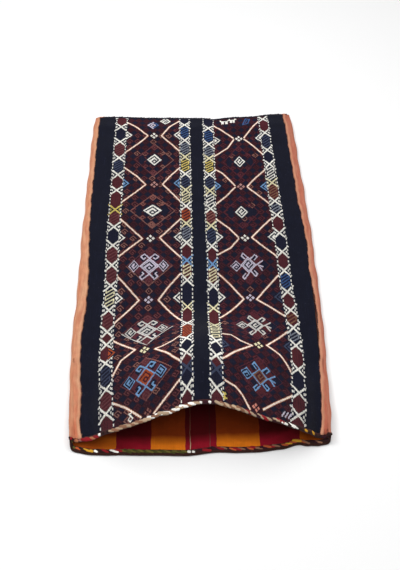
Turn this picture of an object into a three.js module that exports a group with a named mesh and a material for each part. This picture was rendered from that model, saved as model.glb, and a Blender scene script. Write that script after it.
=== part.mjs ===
// A flat-woven wool storage sack lying on its back, mouth towards -Y, brocaded front up.
// The front lip is lifted in a low arch. Millimetres, +Z up, origin under the middle of the sack.
import * as THREE from "three";

// Driving sizes of the cloths
const CLOTH_LENGTH = 1130; // bottom seam to lip, along the cloth
const FRONT_WIDTH = 640; // brocaded front, seam to seam
const STRIP_LAP = 12; // flat part of a side strip on the front and on the back
const FRONT_CLOTH = 4; // thickness of the front between its brocaded fields
const BACK_CLOTH = 3;
const STRIP_CLOTH = 3;
const POCKET_GAP = 9; // free height inside the flat part of the sack
const CLEARANCE = 0.3; // between pieces that are sewn together

// Fields of the front and the back, across the width
const CENTRE_BAND = 45; // plain dark band down the middle
const EDGE_BAND = 61; // plain dark band along each seam
const BROCADE_RAISE = 1; // how far the brocaded fields stand above the plain bands
const FIELD_EDGE = 2; // width of the step at the edge of a field
const STRIPE_EDGES = [-0.634, -0.375, -0.097, 0.112, 0.434, 0.738]; // on the back, of its half width

// The arch of the mouth
const ARCH_RISE = 125; // ridge of the front above its foot, at the lip
const ARCH_PLATEAU = 60; // level run of the ridge behind the lip
const RISE_RUN = 370; // run over which the ridge climbs to that level
const DRAW_RUN = 460; // run over which the sides draw in towards the lip
const FOOT_SHARE = 0.28; // of the half width: the hollow where the front leaves the side
const RIDGE_SHARE = 0.14; // of the half width: the round top of the ridge
const BACK_LIP_BOW = 24; // how far the middle of the back lip reaches past its ends
const BOW_RUN = 280; // length of back cloth over which that reach grows
const BOTTOM_TAPER = 60; // length over which the flat pocket closes at the bottom seam
const RIDGE_SAG = 32; // how far the ridge hangs below the taut arch, at the lip
const SAG_WIDTH = 105; // from the ridge to where that sag ends
const SAG_RUN = 350; // run of cloth over which it grows towards the lip

// Sewn edges
const LIP_ROLL = 6.5; // width of the overcast roll along the lips
const BOTTOM_ROLL = 6; // width of the overcast roll along the bottom
const ROLL_COVER = 1; // how far a roll stands above the cloth that it binds
const STITCH_PITCH = 14; // one turn of the overcast yarn
const STITCH_DEPTH = 0.12; // hollow between two turns, as a share of the roll
const SEAM_WIDTH = 5; // yarn bead over the seam between front and strip
const SEAM_HEIGHT = 2;

// Fineness of the meshes
const STATIONS = 113; // sections worked out along the cloth
const SECTION_STEPS = 60; // points along half of the front in one section
const HALVINGS = 40; // turns of the search for the foot of the front
const FOLD_STEPS = 8; // points round each quarter turn of a side
const CURVED_STEP = 3; // stations between mesh rows where the cloth bends
const FLAT_STEP = 8; // stations between mesh rows where it lies flat
const FIELD_COLUMNS = 7; // mesh columns across half of the brocaded field
const EDGE_COLUMNS = 2; // mesh columns across an edge band
const BACK_COLUMN = 45; // width of a mesh column on the back
const CURL_ZONE = 48; // width of back cloth at each seam that curls up at the mouth
const CURL_COLUMN = 12; // width of a mesh column in that zone
const STRIP_COLUMNS = 9;
const ROLL_SIDES = 6;

// Worked out from the above
const FRONT_HALF = FRONT_WIDTH / 2 + STRIP_LAP;
const BACK_MID = BACK_CLOTH / 2;
const OPEN_SPREAD = POCKET_GAP + (FRONT_CLOTH + BACK_CLOTH) / 2;
const SHUT_SPREAD = CLEARANCE + (FRONT_CLOTH + BACK_CLOTH) / 2;
const STEP = CLOTH_LENGTH / (STATIONS - 1);
const PLATEAU_START = CLOTH_LENGTH - ARCH_PLATEAU;
const RISE_START = PLATEAU_START - RISE_RUN;
const CURVE_START = Math.min(RISE_START, CLOTH_LENGTH - DRAW_RUN);
const FULL_LENGTH = CLOTH_LENGTH + BACK_LIP_BOW + BOTTOM_ROLL + LIP_ROLL + 2 * CLEARANCE;
const BOTTOM_Y = FULL_LENGTH / 2 - BOTTOM_ROLL - CLEARANCE;

const COLOURS = {
  navy: new THREE.Color(0x1c1e30),
  brocade: new THREE.Color(0x46191e),
  yellow: new THREE.Color(0xd78214),
  darkRed: new THREE.Color(0x8c0a1e),
  orange: new THREE.Color(0xd78c69),
  seam: new THREE.Color(0x3a2226),
  lip: new THREE.Color(0x9a6a48),
  backLip: new THREE.Color(0x6a5a2c),
};

const clamp01 = (t) => Math.min(1, Math.max(0, t));
const ease = (t) => clamp01(t) ** 2 * (3 - 2 * clamp01(t));
const easeSoft = (t) => clamp01(t) ** 3 * (6 * clamp01(t) ** 2 - 15 * clamp01(t) + 10);

// Height of the tent from its foot (0) to its ridge (1), as a table over SECTION_STEPS.
const TENT = (() => {
  const slope = (t) => ease(t / FOOT_SHARE) * (1 - ease((t - 1 + RIDGE_SHARE) / RIDGE_SHARE));
  const heights = [0];
  for (let i = 1; i <= SECTION_STEPS; i++)
    heights.push(heights[i - 1] + slope((i - 0.5) / SECTION_STEPS));
  return heights.map((h) => h / heights[SECTION_STEPS]);
})();

// Half of the front in one section, from the middle to the foot.
const tentPoints = (foot, rise) =>
  TENT.map((h, i) => new THREE.Vector2(foot * (1 - i / SECTION_STEPS), rise * h)).reverse();
const lengthOf = (points) => points.slice(1).reduce((sum, p, i) => sum + p.distanceTo(points[i]), 0);

// How far out the foot stands when the front, at its own width, is lifted to the given rise.
function footFor(rise) {
  let near = 0;
  let far = FRONT_HALF;
  for (let turn = 0; turn < HALVINGS; turn++) {
    const foot = (near + far) / 2;
    if (lengthOf(tentPoints(foot, rise)) > FRONT_HALF) far = foot;
    else near = foot;
  }
  return (near + far) / 2;
}

// One section of the right half, as x and z: over the front, round the side and back to the middle.
function sectionAt(v) {
  const rise = ARCH_RISE * easeSoft((v - RISE_START) / RISE_RUN);
  const spread = THREE.MathUtils.lerp(SHUT_SPREAD, OPEN_SPREAD, ease(v / BOTTOM_TAPER));
  const foot = footFor(ARCH_RISE * ease((v - CLOTH_LENGTH + DRAW_RUN) / DRAW_RUN));
  const front = tentPoints(foot, rise);
  const frontRun = lengthOf(front);
  const standing = FRONT_HALF - foot; // back cloth that the drawn-in side takes up as height
  const radius = spread / 2;
  const footHeight = BACK_MID + spread + standing;
  front.forEach((p) => (p.y += footHeight));
  const side = [];
  for (const [height, start] of [[footHeight - radius, Math.PI / 2], [BACK_MID + radius, 0]])
    for (let i = 0; i <= FOLD_STEPS; i++) {
      const angle = start - (i / FOLD_STEPS) * (Math.PI / 2);
      side.push(new THREE.Vector2(foot + radius * Math.cos(angle), height + radius * Math.sin(angle)));
    }
  const loop = [...front, ...side.slice(1), new THREE.Vector2(0, BACK_MID)];
  const run = [0];
  for (let i = 1; i < loop.length; i++) run.push(run[i - 1] + loop[i].distanceTo(loop[i - 1]));
  return { loop, run, frontRun, girth: run[run.length - 1] };
}

const SECTIONS = Array.from({ length: STATIONS }, (_, j) => sectionAt(j * STEP));

// A place round the sack: 0 the middle of the front, 1 where the front's flat ends,
// 2 where the back's flat begins, 3 the middle of the back. Negative places are on the left.
function sectionPoint(place, j) {
  const { loop, run, frontRun, girth } = SECTIONS[j];
  const around = Math.abs(place);
  const side = girth - frontRun - FRONT_HALF;
  let at = around * frontRun;
  if (around > 2) at = girth - (3 - around) * FRONT_HALF;
  else if (around > 1) at = frontRun + (around - 1) * side;
  let i = 1;
  while (i < run.length - 1 && run[i] < at) i++;
  const part = (at - run[i - 1]) / (run[i] - run[i - 1]);
  const p = loop[i - 1].clone().lerp(loop[i], part);
  return new THREE.Vector2(place < 0 ? -p.x : p.x, p.y);
}

// The thread of cloth at one place round the sack, from the bottom seam to the lip.
// Where it climbs or moves in, it gets no longer, so its lip draws back.
const threads = new Map();
function thread(place) {
  if (threads.has(place)) return threads.get(place);
  const bow = BACK_LIP_BOW * (1 - clamp01(3 - Math.abs(place)) ** 4);
  const fromRidge = Math.min(Math.abs(place), 1) * FRONT_HALF;
  const sag = RIDGE_SAG * (1 - ease(fromRidge / SAG_WIDTH));
  const points = [];
  let y = BOTTOM_Y;
  for (let j = 0; j < STATIONS; j++) {
    const p = sectionPoint(place, j);
    if (j > 0) {
      const last = points[j - 1];
      const moved = (p.x - last.x) ** 2 + (p.y - last.z) ** 2;
      y -= Math.sqrt(Math.max(STEP * STEP - moved, 0));
    }
    points.push(new THREE.Vector3(p.x, y, p.y));
  }
  points.forEach((p, j) => {
    p.y -= bow * ease((j * STEP - CLOTH_LENGTH + BOW_RUN) / BOW_RUN);
    p.z -= sag * clamp01((j * STEP - CLOTH_LENGTH + SAG_RUN) / SAG_RUN) ** 2;
  });
  threads.set(place, points);
  return points;
}

// Place, outward normal and the way to the lip, on the middle of the cloth.
const NEARBY = 0.004; // a small step round the sack, for slopes
function clothFrame(place, j) {
  const here = thread(place);
  const along = here[Math.min(j + 1, STATIONS - 1)].clone().sub(here[Math.max(j - 1, 0)]).normalize();
  const across = thread(place + NEARBY)[j].clone().sub(thread(place - NEARBY)[j]).normalize();
  const out = across.clone().cross(along).negate().normalize();
  return { at: here[j], along, across, out };
}

// A closed mesh from rings of points, each ring closed, with flat caps at both ends.
function tubeOf(rings) {
  const sides = rings[0].length;
  const positions = rings.flat().flatMap((p) => [p.x, p.y, p.z]);
  const index = [];
  for (let r = 0; r + 1 < rings.length; r++)
    for (let k = 0; k < sides; k++) {
      const a = r * sides + k;
      const b = r * sides + ((k + 1) % sides);
      index.push(a, b, b + sides, a, b + sides, a + sides);
    }
  const last = (rings.length - 1) * sides;
  for (let k = 1; k + 1 < sides; k++) index.push(0, k + 1, k, last, last + k, last + k + 1);
  const geometry = new THREE.BufferGeometry();
  geometry.setAttribute("position", new THREE.Float32BufferAttribute(positions, 3));
  geometry.setIndex(index);
  return geometry;
}

// A cloth with thickness. Each column is { place, outer, inner, colour }, with the heights of its
// two faces from the middle of the cloth.
function clothShell(columns, rows) {
  const positions = [];
  const colours = [];
  for (const face of ["outer", "inner"])
    for (const column of columns)
      for (const j of rows) {
        const { at, out } = clothFrame(column.place, j);
        const p = at.clone().addScaledVector(out, column[face]);
        positions.push(p.x, p.y, p.z);
        colours.push(...column.colour.toArray());
      }
  const height = rows.length;
  const face = columns.length * height;
  const corner = (c, r, inner) => c * height + r + (inner ? face : 0);
  const index = [];
  // A quad keeps the same diagonal when it is turned over, so that faces that meet stay parallel.
  const quad = (a, b, c, d, turned) => index.push(...(turned ? [a, d, c, a, c, b] : [a, b, c, a, c, d]));
  const last = columns.length - 1;
  for (let c = 0; c < last; c++) {
    for (let r = 0; r + 1 < height; r++)
      for (const inner of [false, true]) {
        const near = [corner(c, r, inner), corner(c, r + 1, inner)];
        const next = [corner(c + 1, r + 1, inner), corner(c + 1, r, inner)];
        quad(...near, ...next, inner);
      }
    for (const r of [0, height - 1]) {
      const outside = [corner(c, r, false), corner(c + 1, r, false)];
      const inside = [corner(c + 1, r, true), corner(c, r, true)];
      quad(...outside, ...inside, r > 0);
    }
  }
  for (const c of [0, last])
    for (let r = 0; r + 1 < height; r++) {
      const outside = [corner(c, r, false), corner(c, r + 1, false)];
      const inside = [corner(c, r + 1, true), corner(c, r, true)];
      quad(...outside, ...inside, c === 0);
    }
  const geometry = new THREE.BufferGeometry();
  geometry.setAttribute("position", new THREE.Float32BufferAttribute(positions, 3));
  geometry.setAttribute("color", new THREE.Float32BufferAttribute(colours, 3));
  geometry.setIndex(index);
  return geometry;
}

// Mesh rows: close together where the cloth bends, wide apart where it lies flat.
const ROWS = (() => {
  const rows = [0];
  while (rows[rows.length - 1] < STATIONS - 1) {
    const j = rows[rows.length - 1];
    const bends = j * STEP < BOTTOM_TAPER || (j + FLAT_STEP) * STEP > CURVE_START;
    rows.push(Math.min(j + (bends ? CURVED_STEP : FLAT_STEP), STATIONS - 1));
  }
  return rows;
})();

const group = new THREE.Group();
function addPiece(name, geometry, colour, roughness = 0.95) {
  geometry.computeVertexNormals();
  const painted = geometry.hasAttribute("color");
  const material = new THREE.MeshStandardMaterial({
    color: painted ? 0xffffff : colour,
    vertexColors: painted,
    roughness,
    metalness: 0,
  });
  const mesh = new THREE.Mesh(geometry, material);
  mesh.name = name;
  group.add(mesh);
}

// The front: plain bands at the middle and along the seams, brocaded fields between them.
function frontColumns() {
  const half = [];
  const plain = { outer: FRONT_CLOTH / 2, colour: COLOURS.navy };
  const raised = { outer: FRONT_CLOTH / 2 + BROCADE_RAISE, colour: COLOURS.brocade };
  const inside = CENTRE_BAND / 2;
  const outside = FRONT_WIDTH / 2 - EDGE_BAND;
  half.push([inside, plain]);
  const fieldStart = inside + FIELD_EDGE;
  const fieldEnd = outside - FIELD_EDGE;
  for (let i = 0; i <= FIELD_COLUMNS; i++)
    half.push([THREE.MathUtils.lerp(fieldStart, fieldEnd, i / FIELD_COLUMNS), raised]);
  for (let i = 0; i <= EDGE_COLUMNS; i++)
    half.push([THREE.MathUtils.lerp(outside, FRONT_WIDTH / 2, i / EDGE_COLUMNS), plain]);
  const all = [...half.map(([s, kind]) => [-s, kind]).reverse(), [0, plain], ...half];
  return all.map(([s, kind]) => ({ place: s / FRONT_HALF, inner: -FRONT_CLOTH / 2, ...kind }));
}
addPiece("front_panel", clothShell(frontColumns(), ROWS));

// The back: lengthwise stripes, lying on the floor. Its edges curl up at the mouth.
function backColumns() {
  const half = FRONT_WIDTH / 2;
  const edges = STRIPE_EDGES.map((share) => share * half);
  const stripe = (s) => edges.filter((edge) => edge < s).length;
  // Places on the back run from the right seam to the left one, because its outer face looks down.
  const column = (s) => ({
    place: (s < 0 ? -1 : 1) * (3 - Math.abs(s) / FRONT_HALF),
    outer: BACK_CLOTH / 2,
    inner: -BACK_CLOTH / 2,
    colour: stripe(s) % 2 ? COLOURS.darkRed : COLOURS.yellow,
  });
  const sides = edges.flatMap((edge) => [edge - FIELD_EDGE / 2, edge + FIELD_EDGE / 2]);
  const stops = [-half, -half + CURL_ZONE, ...sides, half - CURL_ZONE, half].sort((a, b) => a - b);
  const columns = [column(-half)];
  stops.slice(1).forEach((to, zone) => {
    const from = stops[zone];
    const outermost = zone === 0 || zone === stops.length - 2;
    const parts = Math.max(1, Math.round((to - from) / (outermost ? CURL_COLUMN : BACK_COLUMN)));
    for (let i = 1; i <= parts; i++) columns.push(column(THREE.MathUtils.lerp(from, to, i / parts)));
  });
  return columns.reverse();
}
addPiece("back_panel", clothShell(backColumns(), ROWS));

// The side strips, from the front seam round the side to the back seam.
function stripColumns(sign) {
  const seam = (FRONT_WIDTH / 2 + CLEARANCE) / FRONT_HALF;
  const columns = [];
  for (let i = 0; i <= STRIP_COLUMNS; i++)
    columns.push({
      place: sign * THREE.MathUtils.lerp(seam, 3 - seam, i / STRIP_COLUMNS),
      outer: STRIP_CLOTH / 2,
      inner: -STRIP_CLOTH / 2,
      colour: COLOURS.orange,
    });
  return sign < 0 ? columns.reverse() : columns;
}
addPiece("right_side_strip", clothShell(stripColumns(1), ROWS));
addPiece("left_side_strip", clothShell(stripColumns(-1), ROWS));

// A yarn bead over the seam between the front and a strip.
function seamBead(sign) {
  const foot = SEAM_WIDTH / 2;
  const crown = SEAM_WIDTH / 4;
  const base = FRONT_CLOTH / 2 + CLEARANCE;
  const top = base + SEAM_HEIGHT;
  const profile = [[foot, base], [crown, top], [-crown, top], [-foot, base]];
  return tubeOf(
    ROWS.map((j) => {
      const { at, across, out } = clothFrame((sign * FRONT_WIDTH) / 2 / FRONT_HALF, j);
      return profile.map(([b, h]) => at.clone().addScaledVector(across, b).addScaledVector(out, h));
    }),
  );
}
addPiece("right_front_seam", seamBead(1), COLOURS.seam);
addPiece("left_front_seam", seamBead(-1), COLOURS.seam);

// An overcast roll along a path of frames, fat at each turn of the yarn and thin between two turns.
function overcastRoll(frames, width, height) {
  return tubeOf(
    frames.map(({ at, along, out }, i) => {
      const fat = i % 2 ? 1 : 1 - STITCH_DEPTH;
      return Array.from({ length: ROLL_SIDES }, (_, k) => {
        const angle = ((k + 0.5) / ROLL_SIDES) * 2 * Math.PI;
        return at
          .clone()
          .addScaledVector(along, (fat * width * Math.cos(angle)) / 2)
          .addScaledVector(out, (-fat * height * Math.sin(angle)) / 2);
      });
    }),
  );
}

// Frames along a lip, as far as the given reach each side of its middle, moved past the lip by half
// of the roll. placeOf turns a distance from the middle into a place round the sack.
function lipFrames(reach, placeOf, lift) {
  const turns = Math.round((2 * reach) / STITCH_PITCH);
  return Array.from({ length: 2 * turns + 1 }, (_, i) => {
    const frame = clothFrame(placeOf((i / turns - 1) * reach), STATIONS - 1);
    frame.at = frame.at
      .clone()
      .addScaledVector(frame.along, CLEARANCE + LIP_ROLL / 2)
      .addScaledVector(frame.out, lift);
    return frame;
  });
}

const LIP_SIDE = SECTIONS[STATIONS - 1].girth - 2 * FRONT_HALF;
const LIP_REACH = FRONT_HALF + LIP_SIDE / 2 - CLEARANCE;
const placeBy = (s) => {
  const d = Math.abs(s);
  return Math.sign(s) * (d < FRONT_HALF ? d / FRONT_HALF : 1 + (d - FRONT_HALF) / LIP_SIDE);
};
addPiece(
  "front_lip_binding",
  overcastRoll(lipFrames(LIP_REACH, placeBy, 0), LIP_ROLL, FRONT_CLOTH + 2 * ROLL_COVER),
  COLOURS.lip,
);

// The back lip's roll covers its cloth on the inside only, so that it lies on the floor.
const placeOnBack = (s) => (s > 0 ? -1 : 1) * (3 - Math.abs(placeBy(s)));
addPiece(
  "back_lip_binding",
  overcastRoll(lipFrames(LIP_REACH, placeOnBack, -ROLL_COVER), LIP_ROLL, BACK_CLOTH + 2 * ROLL_COVER),
  COLOURS.backLip,
);

// The bottom roll binds the front and the back together.
function bottomRoll() {
  const height = BACK_CLOTH + FRONT_CLOTH + CLEARANCE;
  const reach = FRONT_HALF + SHUT_SPREAD / 2 + STRIP_CLOTH / 2;
  const turns = Math.round((2 * reach) / STITCH_PITCH);
  const frames = Array.from({ length: 2 * turns + 1 }, (_, i) => ({
    at: new THREE.Vector3((1 - i / turns) * reach, BOTTOM_Y + CLEARANCE + BOTTOM_ROLL / 2, height / 2),
    along: new THREE.Vector3(0, 1, 0),
    out: new THREE.Vector3(0, 0, 1),
  }));
  return overcastRoll(frames, BOTTOM_ROLL, height);
}
addPiece("bottom_seam", bottomRoll(), COLOURS.navy);

export default group;
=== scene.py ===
"""Looks of a flat-woven wool storage sack that lies on its back, brocaded front up.

All cloths follow one shape, ClothShape, which gives a place, a direction and a normal for every
point of the sack. The brocade is drawn as simple shapes on a weaving chart, and every mark of
the chart becomes a float of yarn that is laid on the cloth.
"""

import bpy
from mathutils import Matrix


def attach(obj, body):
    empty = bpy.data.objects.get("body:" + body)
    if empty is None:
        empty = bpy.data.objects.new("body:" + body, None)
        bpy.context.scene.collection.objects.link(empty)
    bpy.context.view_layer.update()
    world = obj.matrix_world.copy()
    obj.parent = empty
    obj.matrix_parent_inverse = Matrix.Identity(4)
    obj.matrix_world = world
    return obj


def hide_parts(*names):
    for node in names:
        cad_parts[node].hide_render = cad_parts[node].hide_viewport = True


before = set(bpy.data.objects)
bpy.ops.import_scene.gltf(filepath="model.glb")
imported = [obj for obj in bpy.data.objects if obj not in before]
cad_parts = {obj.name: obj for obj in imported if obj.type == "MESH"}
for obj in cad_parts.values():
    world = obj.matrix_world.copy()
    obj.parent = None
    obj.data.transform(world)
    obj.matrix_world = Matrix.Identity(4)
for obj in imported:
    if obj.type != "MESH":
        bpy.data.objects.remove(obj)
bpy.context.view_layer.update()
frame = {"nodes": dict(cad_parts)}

import logging
import math
from dataclasses import dataclass, field
from enum import Enum
from typing import Iterable, Optional, Sequence

import bpy
import numpy as np
from mathutils import Matrix, Vector

logging.basicConfig(level=logging.INFO, format="%(message)s")
log = logging.getLogger("kilim_sack")

MM = 0.001
Point = tuple[float, float]
Triple = tuple[float, float, float]
Box = tuple[float, float, float, float]
Knots = Sequence[Point]


class Yarn(Enum):
    """Dyed yarns of the brocade and the edges, as sRGB colours."""

    NONE = "000000"
    WHITE = "f8f6ee"
    CREAM = "eee7c2"
    YELLOW = "e0cd72"
    PEACH = "fff0e2"
    TAN = "b0704e"
    RUST = "6c3c40"
    BRICK = "946058"
    ROSE = "94685f"
    PLUM = "47202a"
    MAROON = "53242a"
    WINE = "351821"
    CLARET = "5a2a34"
    NAVY = "1b1c30"
    SLATE = "454d66"
    BLUE = "3f5f92"
    SKY = "7fa9d4"
    LILAC = "d9d1e0"
    GREY = "d9d6d0"
    STEEL = "8a909c"
    PINK = "c89a94"
    SALMON = "e49a88"
    ORANGE = "b4552f"
    BROWN = "87604a"
    RED = "8e1c24"
    GOLD = "d29a2c"
    OLIVE = "625c2a"
    MOSS = "46441e"
    STRAW = "b39a80"
    EARTH = "2e1a18"


YARNS = list(Yarn)


def linear(colour: str) -> tuple[float, float, float, float]:
    """Turns an sRGB hex colour into the linear colour that shaders use.

    Args:
        colour: Six hex digits.

    Returns:
        Red, green, blue and an alpha of one.
    """
    parts = [int(colour[i : i + 2], 16) / 255 for i in (0, 2, 4)]
    return (*[c / 12.92 if c <= 0.04045 else ((c + 0.055) / 1.055) ** 2.4 for c in parts], 1.0)


def ease(t: np.ndarray) -> np.ndarray:
    """Smooth step from 0 to 1."""
    t = np.clip(t, 0, 1)
    return t * t * (3 - 2 * t)


def ease_soft(t: np.ndarray) -> np.ndarray:
    """Smoother step from 0 to 1, with level ends."""
    t = np.clip(t, 0, 1)
    return t**3 * (6 * t * t - 15 * t + 10)


def curve(at: np.ndarray, knots: Knots) -> np.ndarray:
    """Smooth curve through knots.

    Args:
        at: Where to read the curve.
        knots: Pairs of place and value, in order.

    Returns:
        Values of the curve, eased from knot to knot.
    """
    x, y = np.array(knots, float).T
    i = np.clip(np.searchsorted(x, at) - 1, 0, len(x) - 2)
    return y[i] + (y[i + 1] - y[i]) * ease((at - x[i]) / (x[i + 1] - x[i]))


@dataclass
class ClothShape:
    """The form that the sack lies in, in metres, by the rule of the solids with the edge lines added.

    A place round the sack is 0 at the middle of the front, 1 where its flat ends, 2 where the
    back's flat begins and 3 at the middle of the back. Negative places are on the left.
    """

    length: float = 1.130
    front_width: float = 0.640
    strip_lap: float = 0.012
    front_cloth: float = 0.004
    back_cloth: float = 0.003
    strip_cloth: float = 0.003
    pocket_gap: float = 0.009
    clearance: float = 0.0003
    arch_rise: float = 0.125
    arch_plateau: float = 0.060
    rise_run: float = 0.370
    draw_run: float = 0.460
    foot_share: float = 0.28
    ridge_share: float = 0.14
    back_lip_bow: float = 0.024
    bow_run: float = 0.280
    bottom_taper: float = 0.060
    lip_roll: float = 0.0065
    bottom_roll: float = 0.006
    ripple: float = 0.0011
    waves: Sequence[tuple[float, float, float, float]] = (
        (1.0, 0.31, 0.55, 0.2), (0.7, 0.19, -0.42, 0.6), (0.5, 0.115, 0.23, 0.1),
    )
    side_lump: float = 0.0011
    ridge_lean: float = -0.003
    lean_from: float = 0.62
    lean_run: float = 0.42
    far_run: float = 0.35
    lip_run: float = 0.16
    left_edge: Knots = (
        (0, 2), (300, 1), (500, 1), (720, -3), (840, -1), (960, 5), (1030, 6), (1085, 9), (1130, 4),
    )
    right_edge: Knots = (
        (0, -5), (150, -4), (380, 0), (470, 1), (560, 1.5), (640, -1.5), (760, -2.5), (830, -4.5), (920, -2),
        (980, -1), (1040, 2), (1080, 4), (1130, -1),
    )
    far_edge: Knots = (
        (-332, 3), (-300, 3.5), (-200, 0.5), (-165, -2.5), (0, -5), (35, -6.5), (69, -12), (103, -6),
        (136, -1.5), (204, 1.5), (238, 8), (271, 11), (305, 13.5), (332, 14),
    )
    back_lip_edge: Knots = (
        (-332, -1), (-294, -6), (-265, -7), (-235, -5), (-190, -2), (-110, -2), (-40, -4), (40, 3),
        (85, 1), (130, 1), (190, 5), (232, 12), (256, 6), (285, 2), (332, 1),
    )
    lip_drop: Knots = (
        (-332, 33), (-290, 25), (-245, 6), (-110, 6), (-60, 20), (-20, 35), (12, 31), (50, 13), (95, -1),
        (150, -3), (200, -12), (250, -5), (280, 6), (310, 28), (332, 35),
    )
    drop_run: float = 0.350
    flattest: float = 0.05
    halvings: int = 40
    stations: int = 341
    columns: int = 160
    section_steps: int = 60
    fold_steps: int = 8

    def __post_init__(self) -> None:
        """Works out the table of places and normals."""
        self.half = self.front_width / 2 + self.strip_lap
        self.back_mid = self.back_cloth / 2
        full = self.length + self.back_lip_bow + self.bottom_roll + self.lip_roll + 2 * self.clearance
        self.bottom_y = full / 2 - self.bottom_roll - self.clearance
        t = (np.arange(self.section_steps) + 0.5) / self.section_steps
        slope = ease(t / self.foot_share) * (1 - ease((t - 1 + self.ridge_share) / self.ridge_share))
        self.tent = np.concatenate([[0], np.cumsum(slope)]) / slope.sum()
        self.run = np.linspace(0, self.length, self.stations)
        self.places = np.linspace(-3, 3, 6 * self.columns + 1)
        self.table = self._threads()
        self._wander()
        self._drop()
        self._ripple()
        along = np.gradient(self.table, axis=1)
        across = np.gradient(self.table, axis=0)
        self.along = along / np.linalg.norm(along, axis=-1, keepdims=True)
        self.across = across / np.linalg.norm(across, axis=-1, keepdims=True)
        self._set_normals()

    def _set_normals(self) -> None:
        """Outward normals of the table."""
        out = -np.cross(self.across, self.along)
        self.out = out / np.linalg.norm(out, axis=-1, keepdims=True)

    def _foot(self, rise: float) -> float:
        """How far out the front's foot stands when the front is lifted to the given rise."""
        near, far = 0.0, self.half
        for _ in range(self.halvings):
            foot = (near + far) / 2
            arc = np.hypot(foot / self.section_steps, np.diff(self.tent) * rise).sum()
            near, far = (near, foot) if arc > self.half else (foot, far)
        return (near + far) / 2

    def _section(self, v: float) -> tuple[np.ndarray, np.ndarray]:
        """One section of the sack.

        Args:
            v: Distance from the bottom seam along the cloth.

        Returns:
            x and z at every place of the table.
        """
        start = self.length - self.arch_plateau - self.rise_run
        rise = self.arch_rise * ease_soft((v - start) / self.rise_run)
        cloths = (self.front_cloth + self.back_cloth) / 2
        spread = cloths + self.clearance
        spread += (self.pocket_gap - self.clearance) * ease(v / self.bottom_taper)
        drawn = self.arch_rise * ease((v - self.length + self.draw_run) / self.draw_run)
        foot = self._foot(float(drawn))
        radius = spread / 2
        height = self.back_mid + spread + self.half - foot
        front_x = foot * np.linspace(0, 1, self.section_steps + 1)
        front_z = rise * self.tent[::-1] + height
        front_run = np.hypot(np.diff(front_x), np.diff(front_z)).sum()
        upper = np.linspace(math.pi / 2, 0, self.fold_steps + 1)
        lower = np.linspace(0, -math.pi / 2, self.fold_steps + 1)
        x = np.concatenate(
            [front_x, foot + radius * np.cos(upper)[1:], foot + radius * np.cos(lower), [0]]
        )
        z = np.concatenate(
            [
                front_z,
                height - radius + radius * np.sin(upper)[1:],
                self.back_mid + radius + radius * np.sin(lower),
                [self.back_mid],
            ]
        )
        run = np.concatenate([[0], np.cumsum(np.hypot(np.diff(x), np.diff(z)))])
        girth, around = run[-1], np.abs(self.places)
        side = girth - front_run - self.half
        at = np.where(around > 1, front_run + (around - 1) * side, around * front_run)
        at = np.where(around > 2, girth - (3 - around) * self.half, at)
        return np.sign(self.places) * np.interp(at, run, x), np.interp(at, run, z)

    def _threads(self) -> np.ndarray:
        """Places of all threads of cloth, which keep their length where they climb."""
        table = np.zeros((len(self.places), self.stations, 3))
        for j, v in enumerate(self.run):
            table[:, j, 0], table[:, j, 2] = self._section(v)
        moved = (np.diff(table[:, :, [0, 2]], axis=1) ** 2).sum(-1)
        step = np.sqrt(np.maximum(self.run[1] ** 2 - moved, 0))
        table[:, 0, 1] = self.bottom_y
        table[:, 1:, 1] = self.bottom_y - np.cumsum(step, axis=1)
        bow = self.back_lip_bow * (1 - np.clip(3 - np.abs(self.places), 0, 1) ** 4)
        reach = ease((self.run - self.length + self.bow_run) / self.bow_run)
        table[:, :, 1] -= bow[:, None] * reach[None]
        return table

    def _wander(self) -> None:
        """Moves the edges a little off their straight lines, as the real sack lies."""
        around = np.abs(self.places)
        side = ease((around - 0.5) / 0.4) * (1 - ease((around - 2.0) / 0.5))
        left = curve(self.run / MM, self.left_edge) * MM
        right = curve(self.run / MM, self.right_edge) * MM
        out = np.where(self.places[:, None] < 0, -left[None], right[None])
        self.table[:, :, 0] += out * side[:, None]
        lean = self.ridge_lean * ease((self.run - self.lean_from) / self.lean_run)
        self.table[:, :, 0] += lean[None] * np.clip(1 - around, 0, 1)[:, None] ** 0.8
        flat = np.where(around > 2, 3 - around, np.minimum(around, 1)) * np.sign(self.places)
        far = curve(flat * self.half / MM, self.far_edge) * MM
        self.table[:, :, 1] += far[:, None] * (1 - ease(self.run / self.far_run))[None]
        lip = curve(flat * self.half / MM, self.back_lip_edge) * MM * ease((around - 1.6) / 0.4)
        near = ease((self.run - self.length + self.lip_run) / self.lip_run)
        self.table[:, :, 1] += lip[:, None] * near[None]

    def _drop(self) -> None:
        """Lowers the front's lip to the line that it hangs in, and presses the strips beside it as flat."""
        reach = np.clip((self.run - self.length + self.drop_run) / self.drop_run, 0, 1) ** 2
        height = self.table[:, :, 2]
        for side in (-1, 1):
            turn = self.places * side
            top, foot = height[np.argmin(np.abs(turn - 1))], height[np.argmin(np.abs(turn - 2))]
            depth = curve(np.array([side * self.half / MM]), self.lip_drop) * MM * reach
            flatter = np.clip(1 - depth / np.maximum(top - foot, MM), self.flattest, None)
            strip = (turn > 1) & (turn < 2)
            height[strip] = foot + (height[strip] - foot) * flatter
        front = np.abs(self.places) <= 1
        depth = curve(self.places[front] * self.half / MM, self.lip_drop) * MM
        height[front] -= depth[:, None] * reach[None]

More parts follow.
